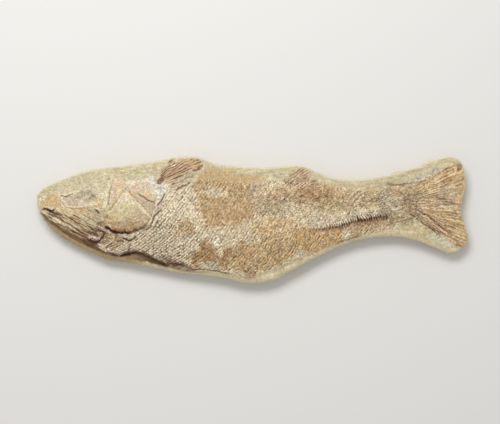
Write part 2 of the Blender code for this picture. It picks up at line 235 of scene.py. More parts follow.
# Ridges, grooves and cracks: points, half width, height, colour, strength.
HEAD_LINES = (
    (((-203, 8.5), (-199, 6), (-195, 2.5), (-191.5, -0.5)), 0.45, -0.6, UMBER, 0.9),
    (((-199, 7.5), (-195, 5), (-192, 2.5), (-189, -1)), 0.45, -0.6, UMBER, 0.9),
    (((-195, 7.5), (-191, 4.5), (-187, 0)), 0.45, -0.5, UMBER, 0.7),
    (((-211.5, 8.5), (-205, 4.5), (-197, 0.5), (-189, -4), (-180, -9), (-170, -14.5)),
     0.9, 0.7, PALE, 0.6),
    (((-213.5, 7), (-210.5, 5.5), (-205.5, 2.5), (-200.5, -2), (-193, -7.5), (-184, -12)),
     0.7, -0.7, UMBER, 0.7),
    (((-202, 5.5), (-194, 2), (-186, -3), (-176, -9), (-166, -15)), 0.6, -0.8, UMBER, 0.85),
    (((-195, 5), (-186, 1), (-176, -4), (-164, -11)), 0.5, -0.6, UMBER, 0.7),
    (((-209, 3.5), (-200, -4.5), (-188, -13), (-174, -21), (-160, -28), (-148, -32)),
     0.7, -0.8, UMBER, 0.7),
    (((-182, -10), (-174, -14), (-164, -20), (-156, -26)), 0.8, -0.7, PLUM, 0.8),
    (((-192, 5.5), (-180, 1.5), (-168, -3), (-158, -7)), 0.5, -0.5, BROWN, 0.7),
    (((-191.5, 24), (-187.5, 23), (-184, 22.5), (-181.5, 23.5), (-177, 24.5)), 0.5, -0.6, UMBER, 0.85),
    (((-190.5, 21.5), (-187.5, 16.5), (-183, 13), (-177.5, 12), (-170, 12), (-162, 12)),
     0.7, 0.5, PINK, 0.8),
    (((-190.5, 18), (-185.5, 13), (-180, 10.5), (-172, 10.5), (-163, 10.5)), 0.5, -0.35, RUST, 0.5),
    (((-141.5, 37.5), (-142.5, 30), (-144, 22.5), (-144, 16), (-145.5, 10)), 1.2, 0.9, PALE, 0.85),
    # painted shadow beside the pale cheek ridge above
    (((-139.5, 33), (-141, 26), (-141.5, 19), (-143, 12)), 0.7, -0.5, UMBER, 0.6),
    (((-156, 9), (-153.5, 7.5), (-151, 5)), 1.0, -1.2, DARK, 0.8),
    (((-158, 11), (-155, 10.5), (-150.5, 9)), 0.9, 0.6, PALE, 0.7),
    # painted highlight, partly the bone's cream: the pale crest along the opercle's upper-left edge
    (((-125.5, 28.5), (-130, 20.5), (-135, 14), (-139.5, 7), (-144, 3.5)), 0.6, 0.3, PALE, 0.7),
    (((-128, 27), (-131.5, 21), (-136.5, 14.5), (-141, 8.5)), 0.5, -0.4, BROWN, 0.6),
    # painted highlight, partly the bone's cream: the pale crest along the opercle's upper-right edge
    (((-126.5, 28.5), (-120, 21.5), (-113.5, 15), (-106.5, 8), (-101, 2.5)), 0.7, 0.45, PALE, 0.75),
    (((-124.5, 29.5), (-118, 22.5), (-111.5, 16), (-105, 9.5), (-99.5, 4)), 0.5, -0.5, RUST, 0.55),
    # painted shadow: the next two dark grooves along the foot of the opercle
    (((-146, -6.5), (-142, -10), (-136, -13), (-129, -14), (-122, -13.5), (-114, -11), (-106, -8),
      (-101, -3)), 1.2, -1.4, PLUM, 1.0),
    (((-146.5, -6.5), (-143, -9), (-139, -11), (-134, -12.5), (-128, -13.5), (-121, -13)),
     1.4, -1.5, DARK, 1.15),
    (((-112, 24.5), (-110, 23), (-106.5, 21.5), (-103.5, 19), (-100, 18), (-95.5, 15)),
     0.7, -0.9, UMBER, 0.9),
    (((-94.5, 15), (-95.5, 10), (-98, 4), (-101, -2), (-105, -7)), 0.7, 0.5, PALE, 0.9),
    (((-86.5, 25), (-88, 21), (-91, 17), (-94.5, 13)), 0.7, -0.9, UMBER, 0.95),
    (((-88.5, 9.5), (-92.5, 6.5), (-96.5, 2), (-99, -2.5), (-102, -8), (-107, -13)),
     0.7, -1.0, UMBER, 0.95),
    (((-88, 8), (-92, 4), (-95.5, -1), (-98.5, -7), (-103, -12)), 0.6, 0.5, PALE, 0.8),
    (((-92, -1), (-95, -5), (-98, -9.5)), 0.6, -0.8, UMBER, 0.8),
    (((-132, -15), (-128, -16), (-124, -18)), 0.8, 1.0, PINK, 1.2),
    (((-124.5, -17), (-121.5, -18.5), (-119, -17.5), (-117.5, -16), (-118.5, -13.5)),
     0.9, 1.1, PALE, 0.9),
    # painted shadow under the curled pale bone above
    (((-130, -18), (-125, -20), (-121, -21), (-117, -19), (-115.5, -15.5)), 0.8, -1.2, DARK, 1.0),
    (((-134.5, -22.5), (-131, -21.5), (-127, -22)), 0.6, -0.8, DARK, 0.8),
    (((-136, -19.5), (-134.5, -16.5), (-132, -16)), 0.5, -0.6, UMBER, 0.8),
    (((-125, -16), (-122, -15.5), (-120.5, -16.5)), 0.5, -0.6, UMBER, 0.7),
    (((-162.5, -20), (-159.5, -22), (-155.5, -23.5), (-152, -23.5)), 1.6, -1.6, DEEP_PLUM, 1.1),
    (((-162.5, -17.5), (-158.5, -18), (-154, -19), (-150, -20)), 1.2, 1.2, PINK, 1.25),
    (((-154, -24.5), (-151, -26), (-146.5, -28.5)), 1.0, 1.2, PINK, 1.25),
    (((-156.5, -7), (-152, -8), (-147.5, -10), (-143, -13)), 1.0, 1.0, PINK, 0.9),
    (((-153.5, -10), (-149.5, -12), (-145.5, -13.5)), 0.8, -1.0, DARK, 0.9),
    (((-120, -24.5), (-122.5, -29), (-123.5, -34)), 0.8, -0.9, UMBER, 0.85),
    (((-144.5, -31), (-140, -34), (-134.5, -36), (-130, -36.5), (-123.5, -35), (-116, -32.5)),
     0.9, -1.1, DARK, 0.9),
    (((-147, -30.5), (-145.5, -27), (-141.5, -24), (-138.5, -21.5), (-137.5, -18.5)),
     0.8, 1.0, PINK, 1.15),
    (((-145, -29.5), (-143, -26.5), (-138.5, -24.5)), 0.6, -1.0, DARK, 1.0),
    (((-144.5, -30), (-142, -31.5), (-139.5, -33)), 0.8, 0.9, PINK, 1.0),
    (((-142, -28), (-139, -27), (-135, -24)), 0.5, -0.5, BROWN, 0.8),
    (((-139, -30), (-135, -28), (-131, -25)), 0.5, -0.5, BROWN, 0.8),
    (((-134, -37), (-131.5, -35), (-128, -34)), 0.8, 0.6, PINK, 0.7),
    # partly a dark red mark, partly painted shadow at its upper end near the opercle's lower corner
    (((-157, -24), (-152.5, -22), (-149.5, -19.5), (-147, -16.5), (-144.5, -13)),
     0.9, -1.3, DARK, 1.05),
    (((-154, -5.5), (-150.5, -3.5), (-146.5, -4.5)), 0.8, -0.9, DARK, 0.7),
    (((-156, -9), (-152, -12), (-148, -12.5)), 0.6, -0.6, UMBER, 0.7),
    (((-180, 5), (-172, 1), (-164, -3.5), (-157, -8)), 0.45, -0.5, BROWN, 0.8),
    (((-168, 4), (-162, 0.5), (-156, -1.5)), 0.4, -0.4, UMBER, 0.6),
    (((-174, -2), (-166, -7), (-160, -12)), 0.45, -0.5, UMBER, 0.7),
    (((-134, 6), (-127, 9), (-119, 7)), 0.5, 0.25, PALE, 0.5),
    (((-139, -5), (-130, -7), (-120, -6), (-110, -2)), 0.5, -0.25, BROWN, 0.5),
    (((-139, -10.5), (-141, -7.5), (-144.5, -5.5)), 0.6, 0.5, PINK, 0.7),
    (((-149, 0), (-144, 3.5), (-138, 7)), 0.5, -0.3, RUST, 0.5),
    (((-142, 40), (-142, 39.5), (-142, 39)), 0.7, -0.6, DARK, 0.9),
    (((-122.5, 41.5), (-122.5, 41), (-122.5, 40.5)), 0.7, -0.6, DARK, 0.9),
    (((-125.5, 39), (-125.5, 38.5), (-125.5, 38)), 0.6, -0.5, DARK, 0.8),
    (((-162, 20), (-158.5, 23), (-155, 20.5)), 0.6, -0.5, UMBER, 0.5),
    (((-116, 12), (-111, 11), (-106, 6)), 0.6, 0.25, PALE, 0.5),
    (((-134, -3), (-126, -0.5), (-116, -2.5), (-109, 0)), 0.6, 0.25, PALE, 0.5),
    (((-210, 9), (-207.5, 10), (-205, 10), (-202, 9), (-199.5, 8.5), (-196, 10)), 1.1, -1.4, DARK, 1.3),
    (((-208, 11.5), (-204.5, 11.5), (-201, 10.5)), 0.6, 0.4, PINK, 0.7),
)
# Stains: outline, colour, strength and, where the edge isn't the usual one, its softness.
HEAD_STAINS = (
    (((-192, 39), (-157, 45), (-102, 43), (-102, 29), (-142, 27), (-168, 29), (-192, 27)),
     rgb(190, 179, 148), 0.7),
    (((-211, 17), (-207.5, 20), (-202, 23.5), (-194, 24), (-190, 21), (-188.5, 17), (-187.5, 13.5),
      (-185.5, 10), (-188.5, 8.5), (-194, 10), (-200, 12), (-205.5, 11), (-210, 10.5), (-212, 13)),
     rgb(194, 165, 120), 0.9, 1.6),
    (((-190, 20.5), (-185.5, 22), (-177.5, 22.5), (-172, 20.5), (-168.5, 17), (-166, 13), (-173, 12.5),
      (-178.5, 12.5), (-183, 14.5), (-187.5, 18)), rgb(186, 169, 145), 0.95),
    (((-174, 26), (-168, 28.5), (-160, 28), (-156, 23), (-156, 17), (-164, 16.5), (-170, 20)),
     rgb(174, 161, 138), 0.7),
    (((-189, 11), (-176.5, 10.5), (-162.5, 10.5), (-162.5, 7.5), (-170, 5), (-176, 4), (-183, 6),
      (-189, 8)), rgb(198, 168, 122), 0.85, 1.4),
    (((-156, 20), (-149, 20), (-147.5, 14), (-152, 10.5), (-157, 13)), rgb(202, 174, 126), 0.55),
    (((-162, 10), (-154, 11), (-144, 9), (-144, 3), (-154, 2), (-164, 5)), rgb(182, 162, 132), 0.7),
    (((-139.5, 36), (-132, 39), (-127, 33), (-131, 22), (-136, 14.5), (-140.5, 11), (-141, 23)),
     rgb(206, 182, 144), 0.7),
    (((-139, 34), (-134, 35), (-134.5, 23), (-139, 16), (-140, 25)), rgb(196, 174, 152), 0.7),
    (((-146, 5), (-135, 15), (-127.5, 25), (-124, 25), (-112, 12.5), (-102, 3), (-106, -6), (-120, -12),
      (-136, -12), (-146, -5)), rgb(190, 172, 136), 0.9),
    (((-133, 14), (-126.5, 26.5), (-122, 22), (-116, 15.5), (-122, 13), (-130, 12)),
     rgb(216, 204, 178), 0.9),
    (((-130, 16), (-122, 18), (-117, 12), (-121, 6), (-129, 8)), rgb(198, 184, 140), 0.8),
    (((-147, 2), (-136, 5), (-130, 0), (-116, 0), (-105, 2.5), (-103, -2), (-112, -9), (-124, -13),
      (-138, -12), (-146, -6)), rgb(166, 137, 98), 0.8),
    (((-139, -10), (-130, -9), (-116, -8), (-110, -6.5), (-117, -12.5), (-130, -13.5)),
     rgb(158, 116, 78), 0.75),
    (((-116, 6), (-108, 7), (-103, 2), (-108, -3), (-115, -1)), rgb(188, 162, 136), 0.6),
    (((-140, 7), (-133, 10), (-126, 5), (-131, -2), (-140, 0)), rgb(196, 176, 128), 0.6),
    (((-126, 33), (-120, 37), (-102, 39), (-99, 29), (-98, 21), (-106, 23), (-116, 27)),
     rgb(208, 192, 166), 0.9),
    (((-119, 35), (-112, 36), (-111, 30), (-116, 27.5)), rgb(202, 174, 146), 0.6),
    (((-106, 31), (-100, 30), (-98.5, 20), (-105, 21.5)), rgb(202, 178, 142), 0.5),
    (((-125, 35), (-119, 38), (-104, 39.5), (-102, 37), (-115, 34.5), (-123, 31.5)),
     rgb(222, 210, 186), 0.7),
    (((-112, 29), (-106, 29.5), (-102.5, 22.5), (-108, 23)), rgb(202, 166, 124), 0.6),
    (((-119, 32.5), (-113, 33), (-111.5, 29.5), (-117, 28)), rgb(204, 168, 148), 0.55),
    (((-132, 23), (-127, 28.5), (-125, 26.5), (-130, 19), (-135, 13), (-136.5, 14.5)),
     rgb(208, 176, 136), 0.55),
    (((-126, 28), (-122, 30), (-110, 23), (-111, 17), (-118, 21.5)), rgb(206, 180, 144), 0.7),
    (((-112, 21.5), (-95.5, 14), (-96, 6), (-101, 4), (-106, 10), (-112.5, 16)),
     rgb(184, 164, 140), 0.9),
    (((-101, 41.5), (-97, 41.5), (-95, 35), (-96.5, 29), (-100, 32)), CHALK, 1.0),
    (((-95.5, 36), (-88, 36.5), (-84, 32), (-86, 25), (-92, 18), (-95.5, 22), (-96.5, 28)), CHALK, 1.0),
    (((-96, 12), (-93.5, 13), (-97, 5), (-102, -4), (-110, -10), (-122, -15), (-124, -13.5),
      (-110, -8.5), (-102, -3), (-98, 6)), rgb(176, 146, 118), 0.8),
    (((-210, 10), (-192, 7), (-178, 3), (-160, -5), (-154, -17), (-156, -24), (-168, -17), (-186, -7),
      (-200, -1), (-210, 4)), rgb(186, 166, 128), 0.8),
    (((-212, 5), (-200, -1.5), (-186, -7.5), (-172, -13.5), (-158, -19), (-148, -31), (-134, -37),
      (-148, -34.5), (-160, -30), (-174, -24), (-188, -16.5), (-200, -7), (-209, 1)),
     rgb(130, 99, 66), 0.95),
    (((-190, -5), (-180, -8), (-166, -13), (-158, -22), (-166, -22), (-180, -14)),
     rgb(150, 112, 84), 0.7),
    (((-144, -12), (-134, -15.5), (-122, -17.5), (-128, -22), (-140, -24), (-146, -29), (-151, -26),
      (-148, -17)), rgb(180, 156, 122), 0.85),
    (((-170, 3), (-154, 5), (-146, -3), (-152, -9), (-162, -11)), rgb(186, 168, 138), 0.7),
    (((-157, -8), (-146, -7), (-142, -13), (-148, -21), (-154, -28), (-161, -23), (-162, -16)),
     rgb(160, 136, 112), 0.6),
    # partly the undercut's dark brown, partly painted shadow: the band under the front of the belly
    (((-134, -37), (-124, -35), (-115, -33), (-105, -36), (-94, -41.5), (-82, -47), (-76, -50),
      (-96, -46.5), (-108, -43.5), (-122, -42), (-133, -40)), rgb(80, 56, 32), 1.15),
)
# Broken ground: outline, lean in degrees, size and height of the bits, colour of the gaps,
# strength.
BROKEN_GROUND = (
    (((-159, -8), (-148, -4), (-143, -9), (-140, -17), (-145, -27), (-153, -29), (-162, -23),
      (-164, -16)), 40, 1.8, 1.1, UMBER, 0.8),
    (((-144, -13), (-128, -17), (-120, -21), (-136, -27), (-145, -27)), -25, 1.7, 0.8, BROWN, 0.7),
    (((-164, 13), (-148, 12), (-142, 5), (-148, -3), (-160, -5), (-176, 3)),
     -25, 1.8, 0.5, BROWN, 0.55),
    (((-174, 28), (-160, 29), (-154, 23), (-157, 17), (-166, 17)), 20, 1.5, 0.4, UMBER, 0.4),
    (((124, 25), (148, 27), (168, 19), (162, -3), (144, -5), (126, 3)), 15, 2.0, 0.8, BROWN, 0.5),
    (((31, 39), (44, 50), (56, 50), (66, 37), (56, 29), (32, 30)), 30, 1.5, 0.5, RUST, 0.5),
    (((14, 27), (32, 29), (48, 27), (76, 27), (78, 17), (48, 13), (18, 13)), 38, 1.7, 0.5, BROWN, 0.5),
    (((-92, -37), (-76, -39), (-60, -44), (-62, -49), (-80, -47), (-94, -42)),
     -10, 1.6, 0.6, PLUM, 0.7),
)
# The same for the flanks, the fins and the tail.
BODY_LINES = (
    # partly a dark crack, partly painted shadow: the broad line along the foot of the front belly
    (((-134, -35.5), (-127, -35.5), (-117, -33), (-107, -35), (-97, -39.5), (-88, -43.5), (-79.5, -45),
      (-69, -46), (-58, -50.5)), 1.9, -1.6, DARK, 0.85),
    (((-62, -49), (-58, -50.5), (-51.5, -50), (-41.5, -51), (-30.5, -53), (-20, -54.5)),
     0.7, -1.0, UMBER, 0.85),
    (((-49, -42.5), (-45, -44), (-41.5, -47), (-36, -42.5)), 0.6, -0.5, UMBER, 0.7),
    (((84, -25), (96.5, -20), (105, -17.5), (110, -16)), 0.7, -0.6, BROWN, 0.8),
    # painted shade: the next three dark lines along the step down from the upper border to the tail fin
    (((135, 36.5), (138, 36), (144.5, 34), (154.5, 35), (166, 36.5), (172.5, 39.5)),
     0.9, -0.7, BROWN, 0.5),
    (((133, 36), (137, 34.5), (142, 33.5), (148, 34), (152, 32.5)), 0.8, -0.7, PLUM, 0.8),
    (((162, 35.5), (172.5, 39), (182.5, 44.5), (194.5, 50), (205.5, 55)), 0.8, -0.6, BROWN, 0.3),
    (((-82, 33.5), (-71.5, 37.5), (-64.5, 41), (-57, 43.5)), 0.7, -0.7, UMBER, 0.7),
    (((-76, 28.5), (-69.5, 31.5), (-64.5, 34.5), (-59, 37)), 0.7, -0.8, UMBER, 0.9),
    (((-48, 56), (-47.5, 52), (-49.5, 49)), 0.8, 0.5, PALE, 0.8),
    (((30, 17.5), (33, 20.5), (36.5, 24)), 0.8, -0.8, PLUM, 0.9),
    (((46.5, 21.5), (48.5, 22.5), (51, 24.5)), 0.8, -0.8, PLUM, 0.9),
    (((36, 20), (41, 22.5), (45, 26.5)), 0.6, -0.5, BROWN, 0.7),
    (((51, 24), (57, 26), (62, 23), (68, 20.5)), 0.8, -0.6, RUST, 0.7),
    (((61, 20), (64.5, 20.5), (67.5, 22.5)), 0.9, -0.7, PLUM, 0.75),
    (((71, 21), (73.5, 22), (75, 22)), 0.7, -0.6, DARK, 0.8),
    (((20, 19.5), (21.5, 20.5), (23, 21.5)), 0.7, -0.6, PLUM, 0.8),
    (((32, 35.5), (37, 36), (42, 35.5)), 0.8, -0.6, UMBER, 0.7),
    (((93, 14), (98, 23), (106, 29)), 0.7, 0.4, PALE, 0.7),
    (((97, 13), (102, 21.5), (110, 27.5)), 0.7, 0.4, PALE, 0.7),
    (((101, 12), (106, 19.5), (114, 26)), 0.7, 0.4, PALE, 0.6),
    (((95, 13.5), (100, 22), (108, 28)), 0.6, -0.4, BROWN, 0.6),
    (((99, 12.5), (104, 20.5), (112, 26.5)), 0.6, -0.4, BROWN, 0.6),
    (((134, 20), (139, 21.5), (144, 20.5), (150, 22.5)), 1.0, 0.7, PALE, 0.7),
    (((132, 16), (138, 13), (141, 9), (146, 11)), 1.0, 0.7, PALE, 0.6),
    (((142.5, 13), (144, 12.5), (145, 12.5)), 0.8, -0.8, DARK, 0.8),
    (((144, 2), (147, 1.5), (151, 1.5)), 0.8, -0.7, UMBER, 0.7),
    (((154.5, 6.5), (160, 3.5), (166.5, -1), (175, -7), (186, -15)), 0.7, -0.9, UMBER, 0.85),
    (((167, 8.5), (178, 1), (190, -8.5), (198.5, -15)), 0.7, -0.9, UMBER, 0.85),
    (((134, -7), (143, -3.5), (156, 0), (162, 0)), 0.8, -0.6, BROWN, 0.6),
    (((184, 21), (189, 20), (194, 20.5)), 0.8, -0.7, UMBER, 0.8),
    (((189, 16.5), (194, 17), (199, 15.5)), 0.7, -0.6, PLUM, 0.7),
    (((172, 19), (176, 16.5), (179, 13.5)), 0.6, -0.5, BROWN, 0.7),
    (((158, 17.5), (163, 17), (166, 18.5)), 0.7, -0.5, PLUM, 0.6),
    (((179, 10), (189, 12.5), (197, 11.5), (209, 13)), 0.9, 0.6, PALE, 0.6),
    (((189, 6), (196, 4.5), (203, 5.5)), 0.7, -0.5, BROWN, 0.6),
    (((197, -16.5), (202, -21), (209, -28)), 0.8, -0.5, BROWN, 0.6),
)
# Stains of the flank, the fins and the tail: outline, colour, strength.
FLANK_STAINS = (
    (((-102, 33), (-56, 39), (-52, 19), (-54, -3), (-38, -17), (-52, -25), (-92, -27), (-116, -21),
      (-102, -3), (-92, 15)), rgb(218, 205, 175), 0.95),
    (((-146, -23), (-112, -15), (-82, -21), (-62, -25), (-68, -43), (-102, -39), (-144, -37)),
     rgb(220, 204, 177), 0.9),
    (((-55, 47), (-2, 45), (10, 35), (-2, 19), (-16, 25), (-38, 29), (-55, 25)),
     rgb(183, 156, 114), 0.9),
    (((-52, 26), (-40, 27), (-26, 22), (-10, 25), (6, 17), (0, 3), (-9, -8), (-26, -10), (-39, -8),
      (-49, -2), (-54, 13)), rgb(180, 150, 108), 1.0),
    (((-46, 29), (-36, 31), (-33, 23), (-42, 21)), rgb(200, 190, 164), 0.8),
    (((-38, -11), (-16, -5), (0, -3), (10, -13), (-4, -27), (-22, -29), (-34, -25)),
     rgb(210, 194, 162), 0.9),
    (((1, 35), (14, 35), (20, 19), (32, 13), (24, -3), (6, 1), (-2, 19)), rgb(190, 171, 140), 0.85),
    (((14, 29), (32, 33), (40, 29), (34, 21), (18, 21)), rgb(190, 157, 116), 0.75),
    (((-75, -4), (-58, -4.5), (-59, -16), (-73, -17)), rgb(197, 170, 128), 0.75),
    (((-49.5, -24), (-41.5, -22.5), (-35, -29.5), (-31.5, -37), (-38, -42.5), (-47, -42.5), (-57, -49),
      (-64, -43), (-59.5, -37), (-52.5, -29.5)), rgb(162, 128, 82), 1.0),
    (((-16, -26), (-3.5, -24), (-2, -31), (-11.5, -34), (-19, -37), (-27, -47), (-34, -46), (-29, -33.5)),
     rgb(158, 124, 82), 0.95),
    (((-20, -35), (10, -21), (48, -17), (54, -25), (38, -37), (10, -51), (-16, -53)),
     rgb(188, 158, 112), 0.85),
    (((-51, -43), (-43, -43), (-36, -43), (-33, -49), (-40, -52), (-50, -50)), rgb(206, 196, 164), 0.9),
    (((-90, -39), (-76, -40), (-66, -44), (-68, -48), (-82, -47)), rgb(128, 94, 80), 0.75),
    (((-9, -53), (-2, -52), (1, -56), (-6, -59)), rgb(160, 118, 92), 0.8),
    (((-68, -19), (-61, -20), (-60, -24), (-66, -24)), rgb(222, 216, 200), 0.45),
    (((-39, -19), (-34, -20), (-34, -25), (-39, -25)), rgb(234, 226, 204), 0.8),
    (((6, -3), (44, -1), (54, -13), (38, -21), (10, -21)), rgb(206, 178, 132), 0.8),
    (((44, 33), (78, 35), (92, 29), (78, 15), (48, 13)), rgb(184, 153, 111), 0.8),
    (((70, 19), (94, 23), (104, 9), (78, 1), (64, 5)), rgb(186, 164, 123), 0.8),
    (((92, 29), (120, 33), (140, 29), (138, 13), (108, 9), (94, 13)), rgb(188, 166, 130), 0.8),
    (((66, 5), (92, 11), (116, 9), (136, 7), (132, 2), (100, -2), (78, -7), (64, -5)),
     rgb(210, 195, 166), 0.95),
    (((44, -13), (58, -12), (78, -11), (90, -9), (92, -21), (78, -27), (58, -31), (46, -29)),
     rgb(197, 164, 114), 1.0),
    (((98, -7), (114, -2), (136, -1), (140, -7), (120, -13), (100, -19)), rgb(188, 162, 122), 0.85),
    (((91, -10), (96.5, -8), (96, -16), (93, -19.5)), rgb(222, 212, 184), 0.95),
    (((32, 31), (39.5, 31.5), (40, 27), (33, 26.5)), rgb(206, 166, 124), 0.8),
)
TAIL_STAINS = (
    (((132, 33), (152, 35), (172, 33), (188, 23), (188, 7), (168, -5), (144, -7), (128, 1)),
     rgb(184, 168, 134), 0.9),
    (((128, 27), (144, 25), (148, 11), (140, 5), (128, 11)), rgb(192, 182, 158), 0.8),
    (((134, 33), (146, 32), (152, 25), (140, 24)), rgb(190, 160, 120), 0.7),
    (((148, 21), (160, 21), (162, 13), (150, 11)), rgb(184, 152, 118), 0.7),
    (((166, 33), (176, 40), (192, 49), (204, 54), (210, 49), (213, 37), (209, 25), (188, 27), (172, 27)),
     rgb(224, 192, 140), 0.95),
    (((188, 43), (200, 50), (210, 47), (212, 39), (196, 37)), rgb(214, 172, 114), 0.85),
    (((184, 29), (204, 31), (210, 19), (200, 5), (184, 9)), rgb(196, 166, 124), 0.8),
    (((205, 21), (210, 21), (209, 12), (204, 12)), rgb(214, 166, 104), 0.8),
    (((173, 13), (198, 9), (210, -5), (216, -21), (208, -29), (196, -21), (184, -11), (172, 1)),
     rgb(200, 168, 122), 0.85),
    (((196, -1), (210, -3), (215, -17), (208, -25), (197, -15)), rgb(182, 150, 112), 0.8),
    (((188, -7), (199, -8), (200, -15), (191, -14)), rgb(206, 154, 96), 0.85),
    (((205, -24), (211, -25), (209, -30), (204, -29)), rgb(208, 160, 98), 0.8),
    (((138, -7), (156, -2), (168, -3), (180, -12), (192, -24), (188, -31), (168, -19), (148, -11)),
     rgb(184, 170, 130), 0.9),
    (((179, -14), (188, -16), (198, -25), (195, -29), (182, -24)), rgb(192, 186, 160), 0.9),
    (((160, 41), (172, 48), (186, 53), (189, 49), (176, 42), (164, 38)), rgb(180, 172, 150), 0.75),
)
FIN_STAINS = (
    (((-92, 38), (-86, 47), (-76, 53), (-60, 59), (-56, 55), (-70, 47), (-84, 39)),
     rgb(168, 124, 98), 0.45),
    (((-72, 60), (-60, 61), (-52, 57), (-49, 53), (-58, 48), (-62, 53), (-72, 56)),
     rgb(200, 170, 124), 0.5),
    (((-95, 40), (-89, 43), (-88, 37), (-94, 36)), rgb(120, 84, 60), 0.8),
    (((-58, 49), (-50, 54), (-48, 51), (-56, 46)), rgb(136, 96, 78), 0.8),
    (((-56, 61.5), (-52.5, 60), (-54, 58)), DARK, 0.8),
    (((204, 55), (209, 55.5), (210, 51.5), (205.5, 49.5)), rgb(124, 94, 84), 0.7),
    (((180, 21), (192, 24), (204, 22), (202, 15), (192, 13), (182, 15)), rgb(168, 146, 126), 0.5),
    (((185, 29), (198, 32), (206, 27), (196, 24)), rgb(190, 172, 142), 0.5),
)


# ---- curves, distances and noise -----------------------------------------------------------
def smooth(points, closed=False, steps=6):
    """Catmull-Rom curve: each stretch is the cubic whose ends lean with their neighbours."""
    p = np.asarray(points, float)
    if closed:
        p = np.vstack([p[-1], p, p[:2]])
    else:
        p = np.vstack([2 * p[0] - p[1], p, 2 * p[-1] - p[-2]])
    t = np.linspace(0, 1, steps, endpoint=False)[None, :, None]
    a, b, c, d = (p[i:len(p) - 3 + i, None, :] for i in range(4))
    curve = 0.5 * (2 * b + (c - a) * t + (2 * a - 5 * b + 4 * c - d) * t ** 2
                   + (3 * b - a - 3 * c + d) * t ** 3)
    curve = curve.reshape(-1, 2)
    return curve if closed else np.vstack([curve, p[-2]])


def ease(value, start, end):
    """Smooth step: 3t^2 - 2t^3 between start and end, level beyond both."""
    t = np.clip((value - start) / (end - start), 0, 1)
    return t * t * (3 - 2 * t)


def wane(value, start, end):
    """The smooth step the other way: 1 before start, 0 beyond end."""
    return 1 - ease(value, start, end)


def bell(distance, width):
    """exp(-(distance / width)^2): 1 in the middle, 0.37 a width away."""
    return np.exp(-(distance / width) ** 2)


def axes(turn):
    """Matrix that gives, for rows of x and y, how far along a direction and to its left."""
    return np.array(((math.cos(turn), -math.sin(turn)), (math.sin(turn), math.cos(turn))))


def reach(xy, line):
    """Distance from each point to a line, and how far along it the nearest place is."""
    best = np.full(len(xy), np.inf)
    along = np.zeros(len(xy))
    for i, (a, b) in enumerate(zip(line[:-1], line[1:])):
        ab = b - a
        if not ab.any():
            continue
        t = np.clip(((xy - a) @ ab) / (ab @ ab), 0, 1)
        d = np.linalg.norm(xy - a - t[:, None] * ab, axis=1)
        near = d < best
        best[near] = d[near]
        along[near] = (i + t[near]) / (len(line) - 1)
    return best, along


def depth_inside(xy, outline):
    """Distance to a closed outline, positive inside it and negative outside."""
    loop = np.vstack([outline, outline[:1]])
    x, y = xy.T
    inside = np.zeros(len(xy), bool)
    for (ax, ay), (bx, by) in zip(loop[:-1], loop[1:]):
        if ay != by:
            crosses = (ay > y) != (by > y)
            inside ^= crosses & (x < ax + (y - ay) * (bx - ax) / (by - ay))
    return np.where(inside, 1, -1) * reach(xy, loop)[0]


def share_between(xy, upper, lower):
    """-1 on the upper line, 1 on the lower one, 0 midway between them."""
    upper, lower = smooth(upper), smooth(lower)
    high = np.interp(xy[:, 0], upper[:, 0], upper[:, 1])
    low = np.interp(xy[:, 0], lower[:, 0], lower[:, 1])
    return (high + low - 2 * xy[:, 1]) / (high - low)


def between(line, start, end, count):
    """Places on a line that runs along X, at evenly spaced X from start to end."""
    curve = smooth(line)
    x = np.linspace(start, end, count)
    return np.column_stack([x, np.interp(x, curve[:, 0], curve[:, 1])])


def fish_plan():
    """The fish's outline: belly, tail end, back and snout end, all the way round."""
    count = 90
    low = between(BELLY_LINE, CUTS[0], CUTS[-1], count)
    high = between(BACK_LINE, CUTS[0], CUTS[-1], count)
    return np.vstack([low, smooth((low[-1], *TAIL_END, high[-1])), high[::-1],
                      smooth((low[0], *SNOUT_END, high[0]))[::-1]])


def grain(xy, size, seed):
    """Value noise, -1 to 1: random heights on a turned square lattice, eased between."""
    squares = 128
    table = np.random.default_rng(seed).uniform(-1, 1, (squares, squares))
    p = xy @ axes(0.7 + 1.3 * seed) / size
    cell = np.floor(p).astype(int)
    f = p - cell
    f = f * f * (3 - 2 * f)
    i, j = cell.T % squares
    k, m = (i + 1) % squares, (j + 1) % squares
    low = table[i, j] * (1 - f[:, 0]) + table[k, j] * f[:, 0]
    high = table[i, m] * (1 - f[:, 0]) + table[k, m] * f[:, 0]
    return low * (1 - f[:, 1]) + high * f[:, 1]


def rubble(xy, size, seed, octaves=3):
    """Sum of grains, each half the size and half the height of the one before."""
    return sum(grain(xy, size / 2 ** n, seed + n) / 2 ** n for n in range(octaves))


def pebbles(xy, size, seed):
    """Bits of ground, each round a centre thrown into its lattice square.

    Gives the gap to the next bit's ground, 0 on the border between two, and the bit's own
    number from 0 to 1.
    """
    squares = 64
    table = np.random.default_rng(seed).uniform(0, 1, (3, squares, squares))
    p = xy / size
    home = np.floor(p).astype(int)
    first = np.full(len(p), np.inf)
    second, own = first.copy(), np.zeros(len(p))
    for step in np.ndindex(3, 3):
        cell = home + np.array(step) - 1
        i, j = cell.T % squares
        d = np.linalg.norm(p - cell - table[:2, i, j].T, axis=1)
        closer = d < first
        second = np.where(closer, first, np.minimum(second, d))
        own = np.where(closer, table[2, i, j], own)
        first = np.minimum(first, d)
    return second - first, own


